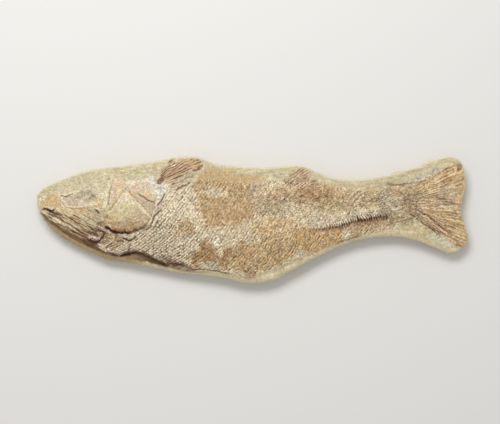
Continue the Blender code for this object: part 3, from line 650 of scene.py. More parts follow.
def contour_numbers(xy, readings, degree):
    """Row numbers: a polynomial in x and y whose slope best fits the slants and pitches read.

    The slope at a reading is one row per pitch, at a right angle to the rows; the
    polynomial's coefficients come from least squares on the slopes.
    """
    x, y, slant, pitch = np.array(readings, float).T
    lean = np.radians(slant)
    turn = np.where(lean < 0, -1, 1)
    wanted = np.concatenate([turn * np.sin(lean) / pitch, -turn * np.cos(lean) / pitch])
    powers = [(i, j) for i in range(degree + 1) for j in range(degree + 1 - i) if i + j]
    unit = 100.0
    u, v = x / unit, y / unit
    slope_x = [i * u ** max(i - 1, 0) * v ** j / unit for i, j in powers]
    slope_y = [j * u ** i * v ** max(j - 1, 0) / unit for i, j in powers]
    slopes = np.hstack([np.array(slope_x), np.array(slope_y)]).T
    weights = np.linalg.lstsq(slopes, wanted, rcond=None)[0]
    u, v = xy.T / unit
    return sum(w * u ** i * v ** j for w, (i, j) in zip(weights, powers))


# ---- the relief of the upper face ------------------------------------------------------------
class Face:
    """The upper face at some places of the plan: a height and a colour for each place.

    worn_xy is the plan bent by noise, and ragged is what a torn edge strays by.  share runs
    from -1 on the back to 1 on the belly, swell from -1 on the upper rim to 1 on the belly.
    groove and tone are what scales() finds for the colours of the flank: groove is how dark a
    groove is painted, partly for dark sediment and partly as painted shade, and tone is each
    scale's own lighter or darker tone, with painted shade that makes a scale darker at its low
    front end.
    """

    def __init__(self, xy):
        self.xy = np.asarray(xy, float)
        self.z = np.zeros(len(self.xy))
        self.rgb = np.tile(CREAM, (len(self.xy), 1))
        self.groove = np.zeros(len(self.xy))
        self.tone = np.zeros(len(self.xy))
        sway = np.stack([grain(self.xy, 4.0, 3), grain(self.xy, 4.0, 4)], axis=1)
        fine = np.stack([grain(self.xy, 1.3, 5), grain(self.xy, 1.3, 6)], axis=1)
        self.worn_xy = self.xy + 0.6 * sway + 0.3 * fine
        self.ragged = 1.5 * rubble(self.xy, 6, 7) + 0.9 * grain(self.xy, 1.6, 8)
        self.share = share_between(self.xy, BACK_LINE, BELLY_LINE)
        self.swell = share_between(self.xy, OUTLINE[:RIM_CORNER + 1], BELLY_LINE)
        self.from_rim = depth_inside(self.xy, smooth(OUTLINE, closed=True))
        self.fish_depth = depth_inside(self.xy, fish_plan())
        self.fin_depth = np.maximum(*(depth_inside(self.xy, smooth(fin, closed=True))
                                      for fin in (FRONT_FIN, REAR_FIN)))

    def near(self, points, margin):
        """Indices of the places within a margin of the box round some points."""
        p = np.asarray(points, float)
        low, high = p.min(axis=0) - margin, p.max(axis=0) + margin
        return np.flatnonzero(((self.xy > low) & (self.xy < high)).all(axis=1))

    def tint(self, where, share, colour):
        """Mixes a colour in by a share."""
        share = np.clip(share, 0, 1)[:, None]
        self.rgb[where] += share * (colour - self.rgb[where])

    def tint_all(self, share, colour):
        """Mixes a colour in over the whole face by a share."""
        self.tint(slice(None), share, colour)

    def within(self, points, soft=1.0):
        """The places in an outline, and how far in each is, 0 to 1.

        The edge is ragged, the more so the softer it is.
        """
        outline = smooth(points, closed=True)
        margin, raggedness = 2.5 + 2 * soft, 0.4 + 0.6 * soft
        where = self.near(outline, margin)
        depth = depth_inside(self.xy[where], outline) + self.ragged[where] * raggedness
        return where, ease(depth, -soft, soft)

    def line(self, points, width, height, colour, strength):
        """A ridge or groove: height times exp(-(distance/width)^2), fading at the ends."""
        curve = smooth(points)
        where = self.near(curve, 3 * width)
        d, along = reach(self.worn_xy[where], curve)
        middle = ease(along, 0, 0.12) * wane(along, 0.88, 1)
        waver = 1 + 0.35 * grain(self.xy[where], 3.0, 9) + 0.3 * grain(self.xy[where], 1.3, 10)
        mark = bell(d, width * waver) * (0.25 + 0.75 * middle)
        self.z[where] += height * mark
        self.tint(where, strength * mark, colour)

    def plate(self, points, height, edge):
        """A raised plate: height times an eased step over its worn rim."""
        outline = smooth(points, closed=True)
        where = self.near(outline, 2 * edge)
        step = ease(depth_inside(self.worn_xy[where], outline), -0.4 * edge, edge)
        self.z[where] += height * step

    def stain(self, points, colour, strength, soft=1.0):
        """A stain with a ragged, soft edge, uneven inside."""
        where, share = self.within(points, soft)
        uneven = 1 + 0.35 * rubble(self.xy[where], 3.5, 13, 2)
        self.tint(where, strength * share * uneven, colour)

    def broken(self, points, lean, size, height, gaps, strength):
        """Broken ground: splinters of bone and stone that lean one way, dark gaps between.

        A splinter is 2.8 times as long as it is wide.  Some are pink and some are brown.
        """
        where, share = self.within(points, 1.5)
        splinter = (2.8 * size, size)
        gap, own = pebbles(self.worn_xy[where] @ axes(math.radians(lean)) / splinter, 1, 17)
        bit = ease(gap, 0, 0.6)
        shown = share * strength
        self.z[where] += share * height * (bit * (0.2 + 1.2 * own) - 0.5)
        self.tint(where, shown * (1 - bit) * (1.2 - own), gaps)
        self.tint(where, 0.55 * shown * bit * ease(own, 0.5, 1.0), PINK)
        self.tint(where, 0.7 * shown * bit * wane(own, 0.1, 0.35), BROWN)


def bare_stone(face):
    """The stone's swell, the ledge under the belly, and the stone's own unevenness.

    The rim's height and the rise are read along the slab; the rise is shared between the
    upper rim and the belly as 1 - |swell|^SWELL_POWER, where swell runs from -1 to 1
    between them.  The ledge comes in behind the snout, is shallower under the rear belly
    and ends before the tail; its foot is painted brown, partly the undercut's own brown and
    partly painted shadow.  Broad noise makes the stone buff in places and pale in
    others; above the back it is painted a darker dun, a painted shade that tones down the
    lamp's light on the border there, and faint streaks run along it.
    """
    x = face.xy[:, 0]
    rim = RIM_HEIGHT * np.interp(x, STATIONS[:, 0], STATIONS[:, 1])
    rise = CROWN_RISE * np.interp(x, STATIONS[:, 0], STATIONS[:, 2])
    face.z += rim + rise * (1 - np.clip(np.abs(face.swell), 0, 1) ** SWELL_POWER)
    ledge = ease(x, -215, -180) * (1 - 0.75 * ease(x, -90, -20)) * wane(x, 90, 135)
    face.z -= LEDGE_DROP * ledge * ease(face.share, 0.97, 1.06)
    face.z += STONE_WAVES * rubble(face.xy, 14, 21)
    face.tint_all(0.5 * ease(rubble(face.xy, 22, 41), -0.2, 0.9), BUFF)
    face.tint_all(0.4 * ease(rubble(face.xy, 9, 51), 0.1, 1.0), PALE)
    # painted shadow, partly the undercut's own brown: the foot of the belly's ledge is tinted brown
    face.tint_all(0.7 * bell(face.share - 1.03, 0.05) * ledge, BROWN)
    # painted shade: the border above the back, tilted towards the lamp, is painted a darker dun
    face.tint_all(0.65 * ease(-face.share, 0.75, 1.25), PAINTED_SHADE_DUN)
    streaks = grain(face.xy * (0.18, 1), 0.9, 23)
    face.rgb *= (1 + 0.22 * streaks)[:, None]


def scales(face):
    """Overlapping scales on the flank.

    Contour numbers count the slanting rows, and the scales along a row.  A groove runs
    between two rows, an eased dip whose depth swells and fades along each scale as a
    sine.  Where the scales are bead-like, a second set of grooves closes each scale at its
    ends.  From groove to groove the height climbs evenly to the rear.  Noise bends the
    rows, and wears and breaks them; where the ground is granular, pebbles take over.
    """
    head = depth_inside(face.xy, smooth(HEAD_PLAN, closed=True)) + 0.5 * face.ragged
    skin = (wane(head, -1.2, 0.5) * wane(face.xy[:, 0] + 3 * face.ragged, 132, 146)
            * wane(np.abs(face.share) + 0.02 * face.ragged, 0.94, 1.02))
    for points in (FRONT_FIN, REAR_FIN, SECOND_BUNDLE):
        where, share = face.within(points)
        skin[where] *= 1 - share
    where = np.flatnonzero(skin > 0)
    xy, skin = face.xy[where], skin[where]

    def area(points):
        share = np.zeros(len(face.xy))
        inside, amount = face.within(points, 6.0)
        share[inside] = amount
        return share[where]

    beaded, worn, granular = area(BEADED_FLANK), area(WORN_FLANK), area(GRANULAR_FLANK)
    unruly = 0.2 + 0.25 * ease(xy[:, 0], -60, 30)
    row = (contour_numbers(xy, ROW_READINGS, 3) + 0.3 * grain(xy, 13, 61)
           + unruly * grain(xy, 3.4, 62))
    place = (contour_numbers(xy, CROSS_READINGS, 2) + 0.3 * grain(xy, 11, 63)
             + 1.4 * unruly * grain(xy, 3.4, 64))
    scale_count = 256
    table = np.random.default_rng(7).uniform(-1, 1, (scale_count, scale_count))
    groove_row = np.floor(row + 0.5)
    across = row - groove_row
    scale = np.floor(place).astype(int) % scale_count
    own = table[np.floor(row).astype(int) % scale_count, scale]
    groove_own = table[groove_row.astype(int) % scale_count, scale]

    bead = np.sin(math.pi * (place % 1))
    notch = 0.6 - 0.2 * beaded + 0.15 * granular
    from_end = np.abs(place - np.floor(place + 0.5))
    dash = wane(np.abs(across), 0.02, 0.34) * (1 - notch * (1 - bead)) * (0.8 + 0.6 * groove_own)
    dash = np.maximum(dash, 0.7 * beaded * wane(from_end, 0.03, 0.27))
    climb = 0.5 * across
    flaked = ease(rubble(xy, 8, 71), 0.2, 0.9) * (1 - 0.7 * beaded)
    patchy = 0.9 + 0.25 * rubble(xy, 6, 74) + 0.25 * grain(xy, 1.6, 75)
    clear = (0.85 * skin * (1 - 0.55 * worn) * (1 - 0.5 * granular) * (1 - 0.6 * flaked)
             * patchy * (1 + 0.4 * beaded))
    gap, bit = pebbles(xy, 2.1, 77)
    lump = ease(gap, 0, 0.5) * (0.5 + bit)
    rough = skin * (0.35 + 0.6 * granular + 0.3 * flaked - 0.2 * beaded - 0.2 * worn)
    face.z[where] += (clear * SCALE_RELIEF * (0.3 - dash + climb) * (1 + 0.3 * own)
                      + rough * PEBBLE_RELIEF * (lump - 0.5))
    face.tint(where, skin, SCALE_CREAM)
    face.tint(where, 0.7 * skin * beaded, PALE)
    # painted shade, partly dark sediment: the grooves and the gaps between pebbles are darkened
    face.groove[where] = np.clip(clear * dash + 0.55 * rough * (0.6 - lump), 0, 1)
    # painted shade: clear * climb makes each scale lighter towards its raised rear and darker at its low
    # front, under the scale before
    face.tone[where] = 0.26 * clear * own + 0.5 * rough * (bit - 0.5) + clear * climb


def flank_step(face):
    """The step along the rear flank: higher above it, with a comb of dark notches at its foot.

    The teeth of the comb are a cosine along the slab, leaning and bent by noise.  Notches
    are bells across the step, wide where a tooth is; the step is thickest 0.72 along.
    """
    curve = smooth(FLANK_STEP)
    where = face.near(curve, 14)
    xy = face.xy[where]
    d, along = reach(face.worn_xy[where], curve)
    faded = ease(along, 0, 0.35) * wane(along, 0.95, 1)
    below = np.interp(xy[:, 0], *np.transpose(FLANK_STEP)) - xy[:, 1]
    side = ease(below, -1.5, 1.5)
    leaning = xy[:, 0] + 0.5 * xy[:, 1] + 1.4 * grain(xy, 5, 79)
    comb = np.cos(2 * math.pi * leaning / COMB_PITCH)
    teeth = ease(comb + 0.7 * grain(xy, 2.6, 80), -0.3, 0.7)
    thick = bell(along - 0.72, 0.22)
    notch = (bell(d, 0.5 + (2.3 + 1.5 * thick) * teeth) * (0.2 + 0.8 * teeth)
             + 0.7 * thick * ease(grain(xy, 2.2, 82), -0.6, 0.4) * bell(d, 2.7))
    face.z[where] += faded * (STEP_RISE * (1 - side) * np.exp(-d / 6)
                              - STEP_FALL * side * np.exp(-d / 5) - NOTCH_DEPTH * notch)
    face.tint(where, 0.8 * faded * bell(d - 1, 3.6) * side, RUST)
    face.tint(where, 0.5 * faded * bell(d - 2, 2) * (1 - teeth) * (1 - side), PALE)
    blotch = 0.95 + 0.5 * grain(xy, 2.5, 81)
    face.tint(where, faded * notch * (0.7 + 0.3 * thick) * blotch, NOTCH_BROWN)


def jaws(face):
    """Long uneven ridges down the lower jaw, following the jaw line."""
    where, share = face.within(JAW_PLAN)
    d, along = reach(face.worn_xy[where], smooth(JAW_LINE))
    stretched = np.column_stack([along * 7.5, d / 1.5])
    ridge = grain(stretched, 1, 131) + 0.5 * grain(stretched * (1, 2), 1, 132)
    share = share * ease(along, 0, 0.04) * wane(along, 0.92, 1)
    face.z[where] += JAW_RELIEF * share * ridge
    face.tint(where, share * ease(-ridge, 0.05, 0.7), UMBER)
    face.tint(where, 0.45 * share * ease(ridge, 0.2, 0.9), JAW_CREAM)


def slanted(xy, lean, pitch):
    """Ray numbers across, and lengths along, for rays that all run at one slant."""
    along, left = (xy @ axes(math.radians(lean))).T
    return -left / pitch, along


def fanned(xy, focus, step):
    """Ray numbers across, and lengths along, for rays that spread from a focus."""
    away = xy - focus
    return np.degrees(np.arctan2(away[:, 1], away[:, 0])) / step, np.hypot(*away.T)


# Fin rays: outline, way of running with its settings, height, colour, gap colour, strength.
RAYS = (
    (FRONT_FIN, fanned, (FRONT_FIN_FOCUS, 2.1), 1.4, FIN_TAN, UMBER, 1.0),
    (SECOND_BUNDLE, slanted, (28, 3.2), 0.7, rgb(206, 178, 150), BROWN, 0.8),
    (REAR_FIN, slanted, (38, 2.4), 0.8, rgb(214, 195, 164), BROWN, 0.9),
    (TAIL_RAYS, fanned, (TAIL_FOCUS, 2.5), 0.75, rgb(212, 186, 142), RAY_GAP, 0.85),
    (TAIL_BUNDLE, slanted, (-37, 2.6), 0.8, FIN_TAN, PLUM, 0.8),
)


def rays(face, points, layout, settings, height, base, gap_colour, strength):
    """Fin rays side by side: |sin|^0.8 across each, streaked, uneven, broken here and there."""
    where, share = face.within(points)
    across, along = layout(face.worn_xy[where], *settings)
    across = across + 0.3 * grain(np.column_stack([across, along / 9]), 1, 141)
    ray_count = 512
    table = np.random.default_rng(5).uniform(-1, 1, ray_count)
    own = table[np.floor(across).astype(int) % ray_count]
    crest = np.abs(np.sin(math.pi * across)) ** 0.8
    stretched = np.column_stack([across * 1.3, along / 7])
    whole = ease(grain(stretched, 1, 142) + 0.6 * grain(stretched * 2, 1, 143), -0.6, 0.4)
    streak = grain(np.column_stack([across * 2.6, along / 5]), 1, 144)
    face.z[where] += share * height * ((crest - 0.6) * (0.4 + 0.6 * whole) + 0.35 * own
                                       + 0.3 * streak)
    shown = share * strength
    face.tint(where, 0.6 * shown, base)
    face.tint(where, 0.5 * shown * ease(streak, 0.1, 0.7), PALE)
    face.tint(where, 0.6 * shown * ease(-streak, 0.2, 0.8), gap_colour)
    face.tint(where, 1.6 * shown * (1 - crest) * (0.25 + 0.75 * whole), gap_colour)
    face.tint(where, 0.4 * shown * (1 - whole) * ease(own, -0.3, 1), gap_colour)
    face.rgb[where] *= (1 + share * 0.22 * own)[:, None]


def borders(face):
    """The strip of stone along the rim below the belly, darker beside the jaw, and a pale rim, partly the
    rim's own pale stone and partly a painted highlight along its rounded edge.
    """
    below = ease(face.share, 1.0, 1.06)
    lip = below * wane(face.from_rim + 0.6 * face.ragged, 3.5, 5.5)
    jaw_lip = below * wane(face.xy[:, 0], -125, -95)
    face.tint_all(0.7 * lip, LIP_BUFF)
    face.tint_all(0.85 * jaw_lip, LIP_BROWN)
    # painted highlight, partly the rim's own pale stone: a pale band along the rim
    face.tint_all(0.6 * wane(face.from_rim, 0.8, 2.2) * (1 - 0.5 * jaw_lip), PALE)


def grit(face):
    """Fine unevenness of the whole face, in height and in tone, with brown spots and pale chips.

    It is roughest on the flanks, and smoother on the head, the tail and the rim.
    """
    fish = wane(np.abs(face.share), 0.9, 1.05)
    head = ease(-face.xy[:, 0], 92, 100) * fish
    tail = ease(face.xy[:, 0], 128, 150) * fish
    rough = (0.6 + 0.6 * fish - 0.4 * head - 0.2 * tail) * (0.4 + 0.6 * ease(face.from_rim, 1, 6))
    coarse = grain(face.xy, 2.2, 151)
    fine = grain(face.xy, 1.15, 152) + 0.4 * grain(face.xy, 0.6, 153)
    face.z += rough * (COARSE_GRIT * coarse + FINE_GRIT * fine)
    face.rgb *= (1 + rough * (0.07 * coarse + 0.38 * fine))[:, None]
    spots = ease(grain(face.xy, 1.3, 157) + 0.5 * grain(face.xy, 6, 158), 0.8, 1.1)
    face.tint_all(0.35 * (1 - 0.6 * head) * spots, BROWN)
    chips = ease(grain(face.xy, 1.3, 159) + 0.4 * grain(face.xy, 7, 160), 0.62, 0.95)
    face.tint_all(0.35 * chips * wane(face.share, 0.9, 0.98), PALE)


def round_rim(face):
    """The droop of the border towards the rim, and the rim's own quarter circle."""
    face.z -= RIM_DROOP * wane(face.from_rim, 0, RIM_DROOP_WIDTH)
    edge = np.clip(1 - face.from_rim / RIM_RADIUS, 0, 1)
    face.z -= RIM_RADIUS * (1 - np.sqrt(1 - edge ** 2))


def face_of(xy):
    """The finished relief at some places: everything laid on the face in turn."""
    face = Face(xy)
    bare_stone(face)
    scales(face)
    for row in FLANK_STAINS:
        face.stain(*row, soft=3.5)
    for row in TAIL_STAINS:
        face.stain(*row, soft=2.2)
    # the grooves painted dark brown: partly dark sediment, partly painted shade
    face.tint_all(0.85 * face.groove, GROOVE_DIRT_AND_SHADE)
    face.rgb *= (1 + face.tone)[:, None]
    flank_step(face)
    for row in HEAD_PLATES:
        face.plate(*row)
    for row in HEAD_STAINS:
        face.stain(*row)
    jaws(face)
    for row in RAYS:
        rays(face, *row)
    for row in FIN_STAINS:
        face.stain(*row)
    borders(face)
    for row in BROKEN_GROUND:
        face.broken(*row)
    for row in HEAD_LINES + BODY_LINES:
        face.line(*row)
    grit(face)
    round_rim(face)
    face.rgb = np.clip(face.rgb, 0.01, 0.95)
    return face


# ---- meshes ----------------------------------------------------------------------------------
def evenly(curve, count, endpoint=True):
    """Evenly spaced lengths along a curve, and the places at them."""
    steps = np.concatenate([[0], np.cumsum(np.linalg.norm(np.diff(curve, axis=0), axis=1))])
    at = np.linspace(0, steps[-1], count, endpoint=endpoint)
    return at, np.column_stack([np.interp(at, steps, curve[:, k]) for k in (0, 1)])


def coons(low, high, left, right):
    """Grid between four boundary curves: the two rulings added, less their bilinear corner."""
    u = np.linspace(0, 1, len(low))[None, :, None]
    v = np.linspace(0, 1, len(left))[:, None, None]
    rules = low[None] * (1 - v) + high[None] * v
    cross = left[:, None] * (1 - u) + right[:, None] * u
    corners = ((1 - u) * (1 - v) * low[0] + u * (1 - v) * low[-1]
               + (1 - u) * v * high[0] + u * v * high[-1])
    return rules + cross - corners


def made(name, points, quads, caps, smoothed, colours, material):
    """A piece from points in mm, quads of corner numbers, capping faces and point colours."""
    mesh = bpy.data.meshes.new(name)
    loops = np.concatenate([quads.ravel(), *[np.array(cap) for cap in caps]])
    sizes = np.array([4] * len(quads) + [len(cap) for cap in caps])
    mesh.vertices.add(len(points))
    mesh.vertices.foreach_set("co", ((points - (*PLAN_SHIFT, 0)) * MM).ravel())
    mesh.loops.add(len(loops))
    mesh.loops.foreach_set("vertex_index", loops.astype(np.int32))
    mesh.polygons.add(len(sizes))
    starts = np.concatenate([[0], np.cumsum(sizes)[:-1]])
    mesh.polygons.foreach_set("loop_start", starts.astype(np.int32))
    mesh.polygons.foreach_set("use_smooth", np.arange(len(sizes)) < smoothed)
    mesh.update(calc_edges=True)
    tint = mesh.color_attributes.new("tint", "FLOAT_COLOR", "POINT")
    tint.data.foreach_set("color", np.hstack([colours, np.ones((len(colours), 1))]).ravel())
    mesh.materials.append(material)
    piece = bpy.data.objects.new(name, mesh)
    bpy.context.scene.collection.objects.link(piece)
    return piece


def strip(a, b):
    """Quads between two rows of corner numbers, or between each two rows of two grids."""
    return np.stack([a[..., :-1], a[..., 1:], b[..., 1:], b[..., :-1]], axis=-1).reshape(-1, 4)


def net(name, plan, material, is_fin=False):
    """A closed patch laid over the face.

    plan is a grid of plan points, rows towards +Y and columns towards +X.  The patch dips
    under the stone along the fish's outline, or a fin's, and sinks where a fin's own patch
    lies over it.  A skirt drops from its whole rim, a little deeper along its near and far
    sides, and long quads from one of these to the other close it below.
    """
    rows, columns = plan.shape[:2]
    face = face_of(plan.reshape(-1, 2))
    if is_fin:
        z = face.z + FIN_LIFT - EDGE_DIP * wane(face.fin_depth, 0, EDGE_DIP_WIDTH)
    else:
        z = (face.z + NET_LIFT - EDGE_DIP * wane(face.fish_depth, 0, EDGE_DIP_WIDTH)
             - FIN_BED * ease(face.fin_depth, 0.9, 2.0))
    number = np.arange(rows * columns).reshape(rows, columns)
    sides = [number[0], number[1:-1, -1], number[-1, ::-1], number[-2:0:-1, 0]]
    lengths = [len(side) for side in sides]
    rim = np.concatenate(sides)
    foot = np.arange(len(rim)) + rows * columns
    near, right, far, left = np.split(foot, np.cumsum(lengths)[:-1])
    top = np.column_stack([face.xy, z])
    low = top[rim]
    low[:, 2] -= np.repeat((SIDE_SKIRT, END_SKIRT) * 2, lengths)
    skirt = strip(np.append(foot, foot[0]), np.append(rim, rim[0]))
    cover = strip(number[:-1], number[1:])
    quads = np.vstack([cover, skirt, strip(far[::-1], near)])
    caps = [[far[-1], near[0], *left[::-1]], [near[-1], far[0], *right[::-1]]]
    colours = np.vstack([face.rgb, face.rgb[rim]])
    return made(name, np.vstack([top, low]), quads, caps, len(cover), colours, material)


def body_net(name, start, end, columns, material):
    """A stretch of the fish between belly and back."""
    low, high = between(BELLY_LINE, start, end, columns), between(BACK_LINE, start, end, columns)
    t = np.linspace(0, 1, BODY_ROWS)[:, None, None]
    return net(name, low[None] * (1 - t) + high[None] * t, material)


def end_net(name, root, tip, rim, columns, material):
    """The head or the tail: the fish from a cut across its body out to its end.

    rim runs from the belly side to the back side, between the two places at the tip.
    """
    start, end = min(root, tip), max(root, tip)
    low, high = between(BELLY_LINE, start, end, columns), between(BACK_LINE, start, end, columns)
    t = np.linspace(0, 1, BODY_ROWS)[:, None]
    if tip < root:
        left = evenly(smooth((low[0], *rim, high[0])), BODY_ROWS)[1]
        right = low[-1] * (1 - t) + high[-1] * t
    else:
        left = low[0] * (1 - t) + high[0] * t
        right = evenly(smooth((low[-1], *rim, high[-1])), BODY_ROWS)[1]
    return net(name, coons(low, high, left, right), material)


def fin_net(name, outline, lean, spacing, material):
    """A fin: rows along its rays, each stretched between the fin's two edges."""
    turned = axes(math.radians(lean))
    along, across = (smooth(outline, closed=True) @ turned).T
    rows = int(np.ptp(across) / spacing)
    inset = spacing / 2
    levels = np.linspace(across.min() + inset, across.max() - inset, rows)[None]
    a, b = across[:, None], np.roll(across, -1)[:, None]
    crosses = (a > levels) != (b > levels)
    share = np.where(crosses, (levels - a) / np.where(crosses, b - a, 1), 0)
    at = along[:, None] + share * (np.roll(along, -1) - along)[:, None]
    start = np.where(crosses, at, np.inf).min(axis=0)
    end = np.where(crosses, at, -np.inf).max(axis=0)
    u = np.linspace(0, 1, int(np.ptp(along) / spacing))
    length = start[:, None] + (end - start)[:, None] * u
    side = np.broadcast_to(levels.T, length.shape)
    return net(name, np.stack([length, side], axis=-1) @ turned.T, material, is_fin=True)


def profile(rim, inward, squeeze):
    """The stone's rings, from the flat back round the side and in over the face.

    Gives their plan, their heights and the face that the upper ones follow.  squeeze
    shortens the insets where the stone is narrow.
    """
    def rings(insets):
        return rim + inward * (np.array(insets)[:, None, None] * squeeze)

    turn = np.linspace(0, math.pi / 2, ROUNDING_RINGS)
    rounding = RIM_RADIUS * (1 - np.sin(turn))
    back_insets = np.linspace(DEEPEST_INSET, BACK_INSET, BACK_RINGS)
    border = RIM_RADIUS + BORDER_SPACING * np.arange(1, BORDER_RINGS + 1)
    under = rings([*back_insets, *rounding])
    wall = rings(np.zeros(WALL_RINGS))
    over = rings([*rounding[::-1], *border, *BURIED_INSETS])
    face = face_of(over.reshape(-1, 2))
    sunk = np.maximum(ease(face.fish_depth, 0.8, 3.0), ease(face.fin_depth, 0.8, 3.0))
    over_z = (face.z - SINK * sunk).reshape(len(over), -1)
    foot = np.concatenate([np.zeros(BACK_RINGS), RIM_RADIUS * (1 - np.cos(turn))])
    under_z = np.broadcast_to(foot[:, None], under.shape[:2])
    share = np.linspace(0, 1, WALL_RINGS + 2)[1:-1, None]
    wall_z = RIM_RADIUS + (over_z[0] - RIM_RADIUS) * share
    return np.concatenate([under, wall, over]), np.concatenate([under_z, wall_z, over_z]), face


def stone(material):
    """The nodule: one profile carried round the outline.

    From a spine on the flat back the profile runs out to the rim, round the lower edge as
    a quarter circle, up the broken side, round the upper edge and in over the border,
    where it follows the face; under the fish it sinks and ends at the spine again.  Noise
    chips the side, most of all low down.
    """
    loop = smooth(OUTLINE, closed=True, steps=24)
    at, rim = evenly(np.vstack([loop, loop[:1]]), STONE_COLUMNS, endpoint=False)
    spine_x = np.clip(rim[:, 0] * 0.97, *SPINE_ENDS)
    back, belly = smooth(BACK_LINE), smooth(BELLY_LINE)
    spine_y = (np.interp(spine_x, back[:, 0], back[:, 1])
               + np.interp(spine_x, belly[:, 0], belly[:, 1])) / 2
    inward = np.column_stack([spine_x, spine_y]) - rim
    room = np.linalg.norm(inward, axis=1, keepdims=True)
    inward = inward / room
    squeeze = np.minimum(1, 0.93 * room / DEEPEST_INSET)
    plan, height, face = profile(rim, inward, squeeze)

    count = len(plan)
    noise_shift, chip_stretch = 40, 1.8
    unrolled = np.column_stack([np.tile(at, count), height.ravel() + noise_shift])
    gap, own = pebbles(unrolled / (chip_stretch, 1), 7, 103)
    chipped = (rubble(unrolled, 12, 101) + 0.35 * rubble(unrolled, 2.5, 104, 2)
               + 1.1 * ease(gap, 0, 0.3) * (own - 0.5)) - 0.9
    inset = np.linalg.norm(plan - rim, axis=-1)
    side = wane(inset, 1, 6) * ease(height, 0.2, 3) * (1 - 0.88 * ease(height, 10, 15))
    plan = plan - inward * (chipped.reshape(count, -1) * side)[..., None]

    hidden = unrolled[:-len(face.xy)]
    colours = np.tile(CREAM, (len(hidden), 1))
    colours += 0.5 * np.clip(rubble(hidden, 16, 111), 0, 1)[:, None] * (BUFF - CREAM)
    colours *= (0.97 + 0.16 * rubble(hidden, 3, 114))[:, None]
    stained = ease(rubble(hidden, 12, 117), 0.3, 1.1)[:, None]
    colours += 0.5 * stained * (OLIVE - colours)
    number = np.arange(count * STONE_COLUMNS).reshape(count, STONE_COLUMNS)
    following = np.roll(number, -1, axis=1)
    quads = np.stack([number[:-1], number[1:], following[1:], following[:-1]],
                     axis=-1).reshape(-1, 4)
    caps = [number[0], number[-1][::-1]]
    points = np.concatenate([plan, height[..., None]], axis=-1).reshape(-1, 3)
    return made("stone", points, quads, caps, len(quads), np.vstack([colours, face.rgb]), material)


# ---- materials ---------------------------------------------------------------------------------
class Flow:
    """One shader socket; arithmetic on it adds the Math nodes."""

    def __init__(self, recipe, socket):
        self.recipe, self.socket = recipe, socket

    def _with(self, operation, first, second):
        return self.recipe.node("ShaderNodeMath", {"operation": operation}, {0: first, 1: second})

    def __add__(self, other):
        return self._with("ADD", self, other)

    def __rsub__(self, other):
        return self._with("SUBTRACT", other, self)

    def __mul__(self, other):
        return self._with("MULTIPLY", self, other)

    __radd__, __rmul__ = __add__, __mul__


class Recipe:
    """A material's node tree, written as expressions."""

    def __init__(self, name):
        self.material = bpy.data.materials.new(name)
        self.material.use_nodes = True
        self.tree = self.material.node_tree
        self.shader = self.tree.nodes["Principled BSDF"]
        self.place = self.node("ShaderNodeTexCoord", {}, {}, "Object")
        self.tint = self.node("ShaderNodeAttribute", {"attribute_name": "tint"}, {}, "Color")

    def node(self, kind, settings, sockets, output=0):
        """Adds a node, sets its settings first and then its sockets, and gives an output."""
        made_node = self.tree.nodes.new(kind)
        for key, value in settings.items():
            setattr(made_node, key, value)
        for key, value in sockets.items():
            self.feed(made_node.inputs[key], value)
        return Flow(self, made_node.outputs[output])

    def feed(self, socket, value):
        """Links a flow to a socket, or sets the socket's own value."""
        if isinstance(value, Flow):
            self.tree.links.new(value.socket, socket)
        else:
            socket.default_value = value

    def noise(self, size, detail=2.0, roughness=0.5):
        """Noise from 0 to 1 whose lumps are about a size in millimetres.

        At scale 1 a lump is about 0.6 across.
        """
        sockets = {"Vector": self.place, "Scale": 0.6 / (size * MM),
                   "Detail": detail, "Roughness": roughness}
        return self.node("ShaderNodeTexNoise", {}, sockets)

    def band(self, value, start, end):
        """0 below start, 1 above end, eased between."""
        settings = {"interpolation_type": "SMOOTHSTEP"}
        return self.node("ShaderNodeMapRange", settings, {"Value": value, 1: start, 2: end})

    def scaled(self, colour, value):
        """A colour made lighter or darker by a value."""
        return self.node("ShaderNodeVectorMath", {"operation": "SCALE"}, {0: colour, "Scale": value})

    def blended(self, share, first, second):
        """The second colour mixed into the first by a share."""
        settings = {"data_type": "RGBA", "blend_type": "MIX"}
        return self.node("ShaderNodeMix", settings, {0: share, 6: first, 7: second}, 2)

    def raised(self, height, distance, strength, below=None):
        """A bump of a height from 0 to 1 over a distance in millimetres."""
        sockets = {"Height": height, "Distance": distance * MM, "Strength": strength}
        if below:
            sockets["Normal"] = below
        return self.node("ShaderNodeBump", {}, sockets)

    def finish(self, **sockets):
        """Feeds the shader, spaces in socket names written as underscores."""
        for key, value in sockets.items():
            self.feed(self.shader.inputs[key.replace("_", " ")], value)
        return self.material


def stone_skin(name, speck_share, gloss):
    """Chalky stone: the laid colours, mottled, specked and pitted at a fine grain."""
    skin = Recipe(name)
    mottle = skin.noise(size=1.1, roughness=0.6)
    fine = skin.noise(size=0.55, roughness=0.6)
    specks = skin.band(skin.noise(size=0.9, detail=1.0), 0.66, 0.74) * speck_share
    lightness = 0.60 + mottle * 0.42 + fine * 0.38
    colour = skin.scaled(skin.tint, lightness)
    colour = skin.blended(specks, colour, (*UMBER, 1))
    bumps = skin.raised(fine + mottle * 1.2, distance=0.3, strength=0.7)
    pits = skin.raised(1 - specks, distance=0.3, strength=0.5, below=bumps)
    return skin.finish(Base_Color=colour, Roughness=gloss + mottle * 0.15, Normal=pits,
                       Specular_IOR_Level=0.35)


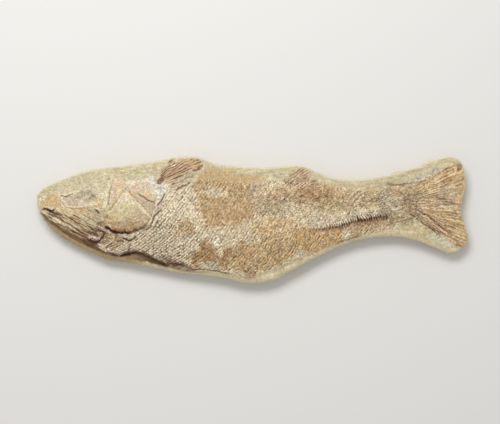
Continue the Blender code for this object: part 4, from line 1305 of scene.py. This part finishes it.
# ---- the pieces ----------------------------------------------------------------------------------
BODY_ROWS = 236           # of the fish's nets, from belly to back
BODY_COLUMNS = 400        # of the head's net and of each flank's
TAIL_COLUMNS = 250        # of the tail's
FIN_SPACING = 0.3         # of the points in a fin's net, in millimetres
STONE_COLUMNS = 1180      # of the stone, round its rim
BACK_RINGS = 8            # of the stone, on its flat back
ROUNDING_RINGS = 8        # round each edge of its rim
WALL_RINGS = 12           # up its side
BORDER_RINGS = 33         # and in over the border
BORDER_SPACING = 0.62     # between the rings on the border, in millimetres
BACK_INSET = 9            # from the rim to the first ring on the back, in millimetres
DEEPEST_INSET = 30        # and to the last
BURIED_INSETS = (28, 30)  # of the last two rings, under the fish
SPINE_ENDS = (-188, 186)  # X between which the stone's rings close, in millimetres
# The drawn plan's middle lies this far off the middle of the modelled solid.
RIM = smooth(OUTLINE, closed=True)
PLAN_SHIFT = (RIM.min(axis=0) + RIM.max(axis=0)) / 2 - np.mean(CAD_BOX, axis=0)[:2] / MM

bare = stone_skin("bare_limestone", 0.30, 0.80)
scaly = stone_skin("fossil_scales", 0.40, 0.62)
bony = stone_skin("fossil_bone", 0.35, 0.58)

snout, gill, middle, tail_root, tail = CUTS
pieces = (
    (stone(bare), "limestone"),
    (end_net("head", gill, snout, SNOUT_END, BODY_COLUMNS, bony), "fossil_bone"),
    (body_net("front_flank", gill, middle, BODY_COLUMNS, scaly), "fossil_scales"),
    (body_net("rear_flank", middle, tail_root, BODY_COLUMNS, scaly), "fossil_scales"),
    (end_net("tail_fin", tail_root, tail, TAIL_END, TAIL_COLUMNS, bony), "fossil_bone"),
    (fin_net("front_fin", FRONT_FIN, 28, FIN_SPACING, bony), "fossil_bone"),
    (fin_net("rear_fin", REAR_FIN, 40, FIN_SPACING, bony), "fossil_bone"),
)
for piece, slot_name in pieces:
    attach(piece, "root")
    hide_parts("fossil_slab")


# ---- floor, light and camera ----------------------------------------------------------------------
def studio():
    """A pale floor, one broad soft light from beyond the fish's back, and a pale sky."""
    floor_mesh = bpy.data.meshes.new("floor")
    half = 3.0
    floor_mesh.from_pydata([(-half, -half, 0), (half, -half, 0), (half, half, 0), (-half, half, 0)],
                           [], [(0, 1, 2, 3)])
    floor = bpy.data.objects.new("floor", floor_mesh)
    bpy.context.scene.collection.objects.link(floor)
    paint = Recipe("floor_paint")
    floor_mesh.materials.append(paint.finish(Base_Color=(0.72, 0.71, 0.69, 1), Roughness=0.9))

    lamp = bpy.data.lights.new("window", "AREA")
    lamp.shape = "RECTANGLE"
    lamp.size, lamp.size_y = 0.8, 0.5
    lamp.energy = 12.5
    window = bpy.data.objects.new("window", lamp)
    window.location = (-0.25, 0.78, 1.12)
    window.rotation_euler = window.location.to_track_quat("Z", "Y").to_euler()
    bpy.context.scene.collection.objects.link(window)

    world = bpy.data.worlds.new("pale_sky")
    world.use_nodes = True
    sky = world.node_tree.nodes["Background"]
    sky.inputs["Color"].default_value = (1.0, 0.99, 0.97, 1)
    sky.inputs["Strength"].default_value = 0.60
    bpy.context.scene.world = world


def look_down():
    """The camera, straight above the slab."""
    camera = bpy.data.cameras.new("camera")
    above, seen_width = 1.5, 0.5
    middle_x, middle_y = -0.0022, 0.0079
    mid_height = 0.6 * RIM_HEIGHT * MM
    camera.sensor_width = 36
    camera.lens = camera.sensor_width * above / seen_width
    eye = bpy.data.objects.new("camera", camera)
    eye.location = (middle_x, middle_y, above + mid_height)
    bpy.context.scene.collection.objects.link(eye)
    bpy.context.scene.camera = eye


studio()
look_down()
bpy.context.scene.view_settings.view_transform = "Standard"
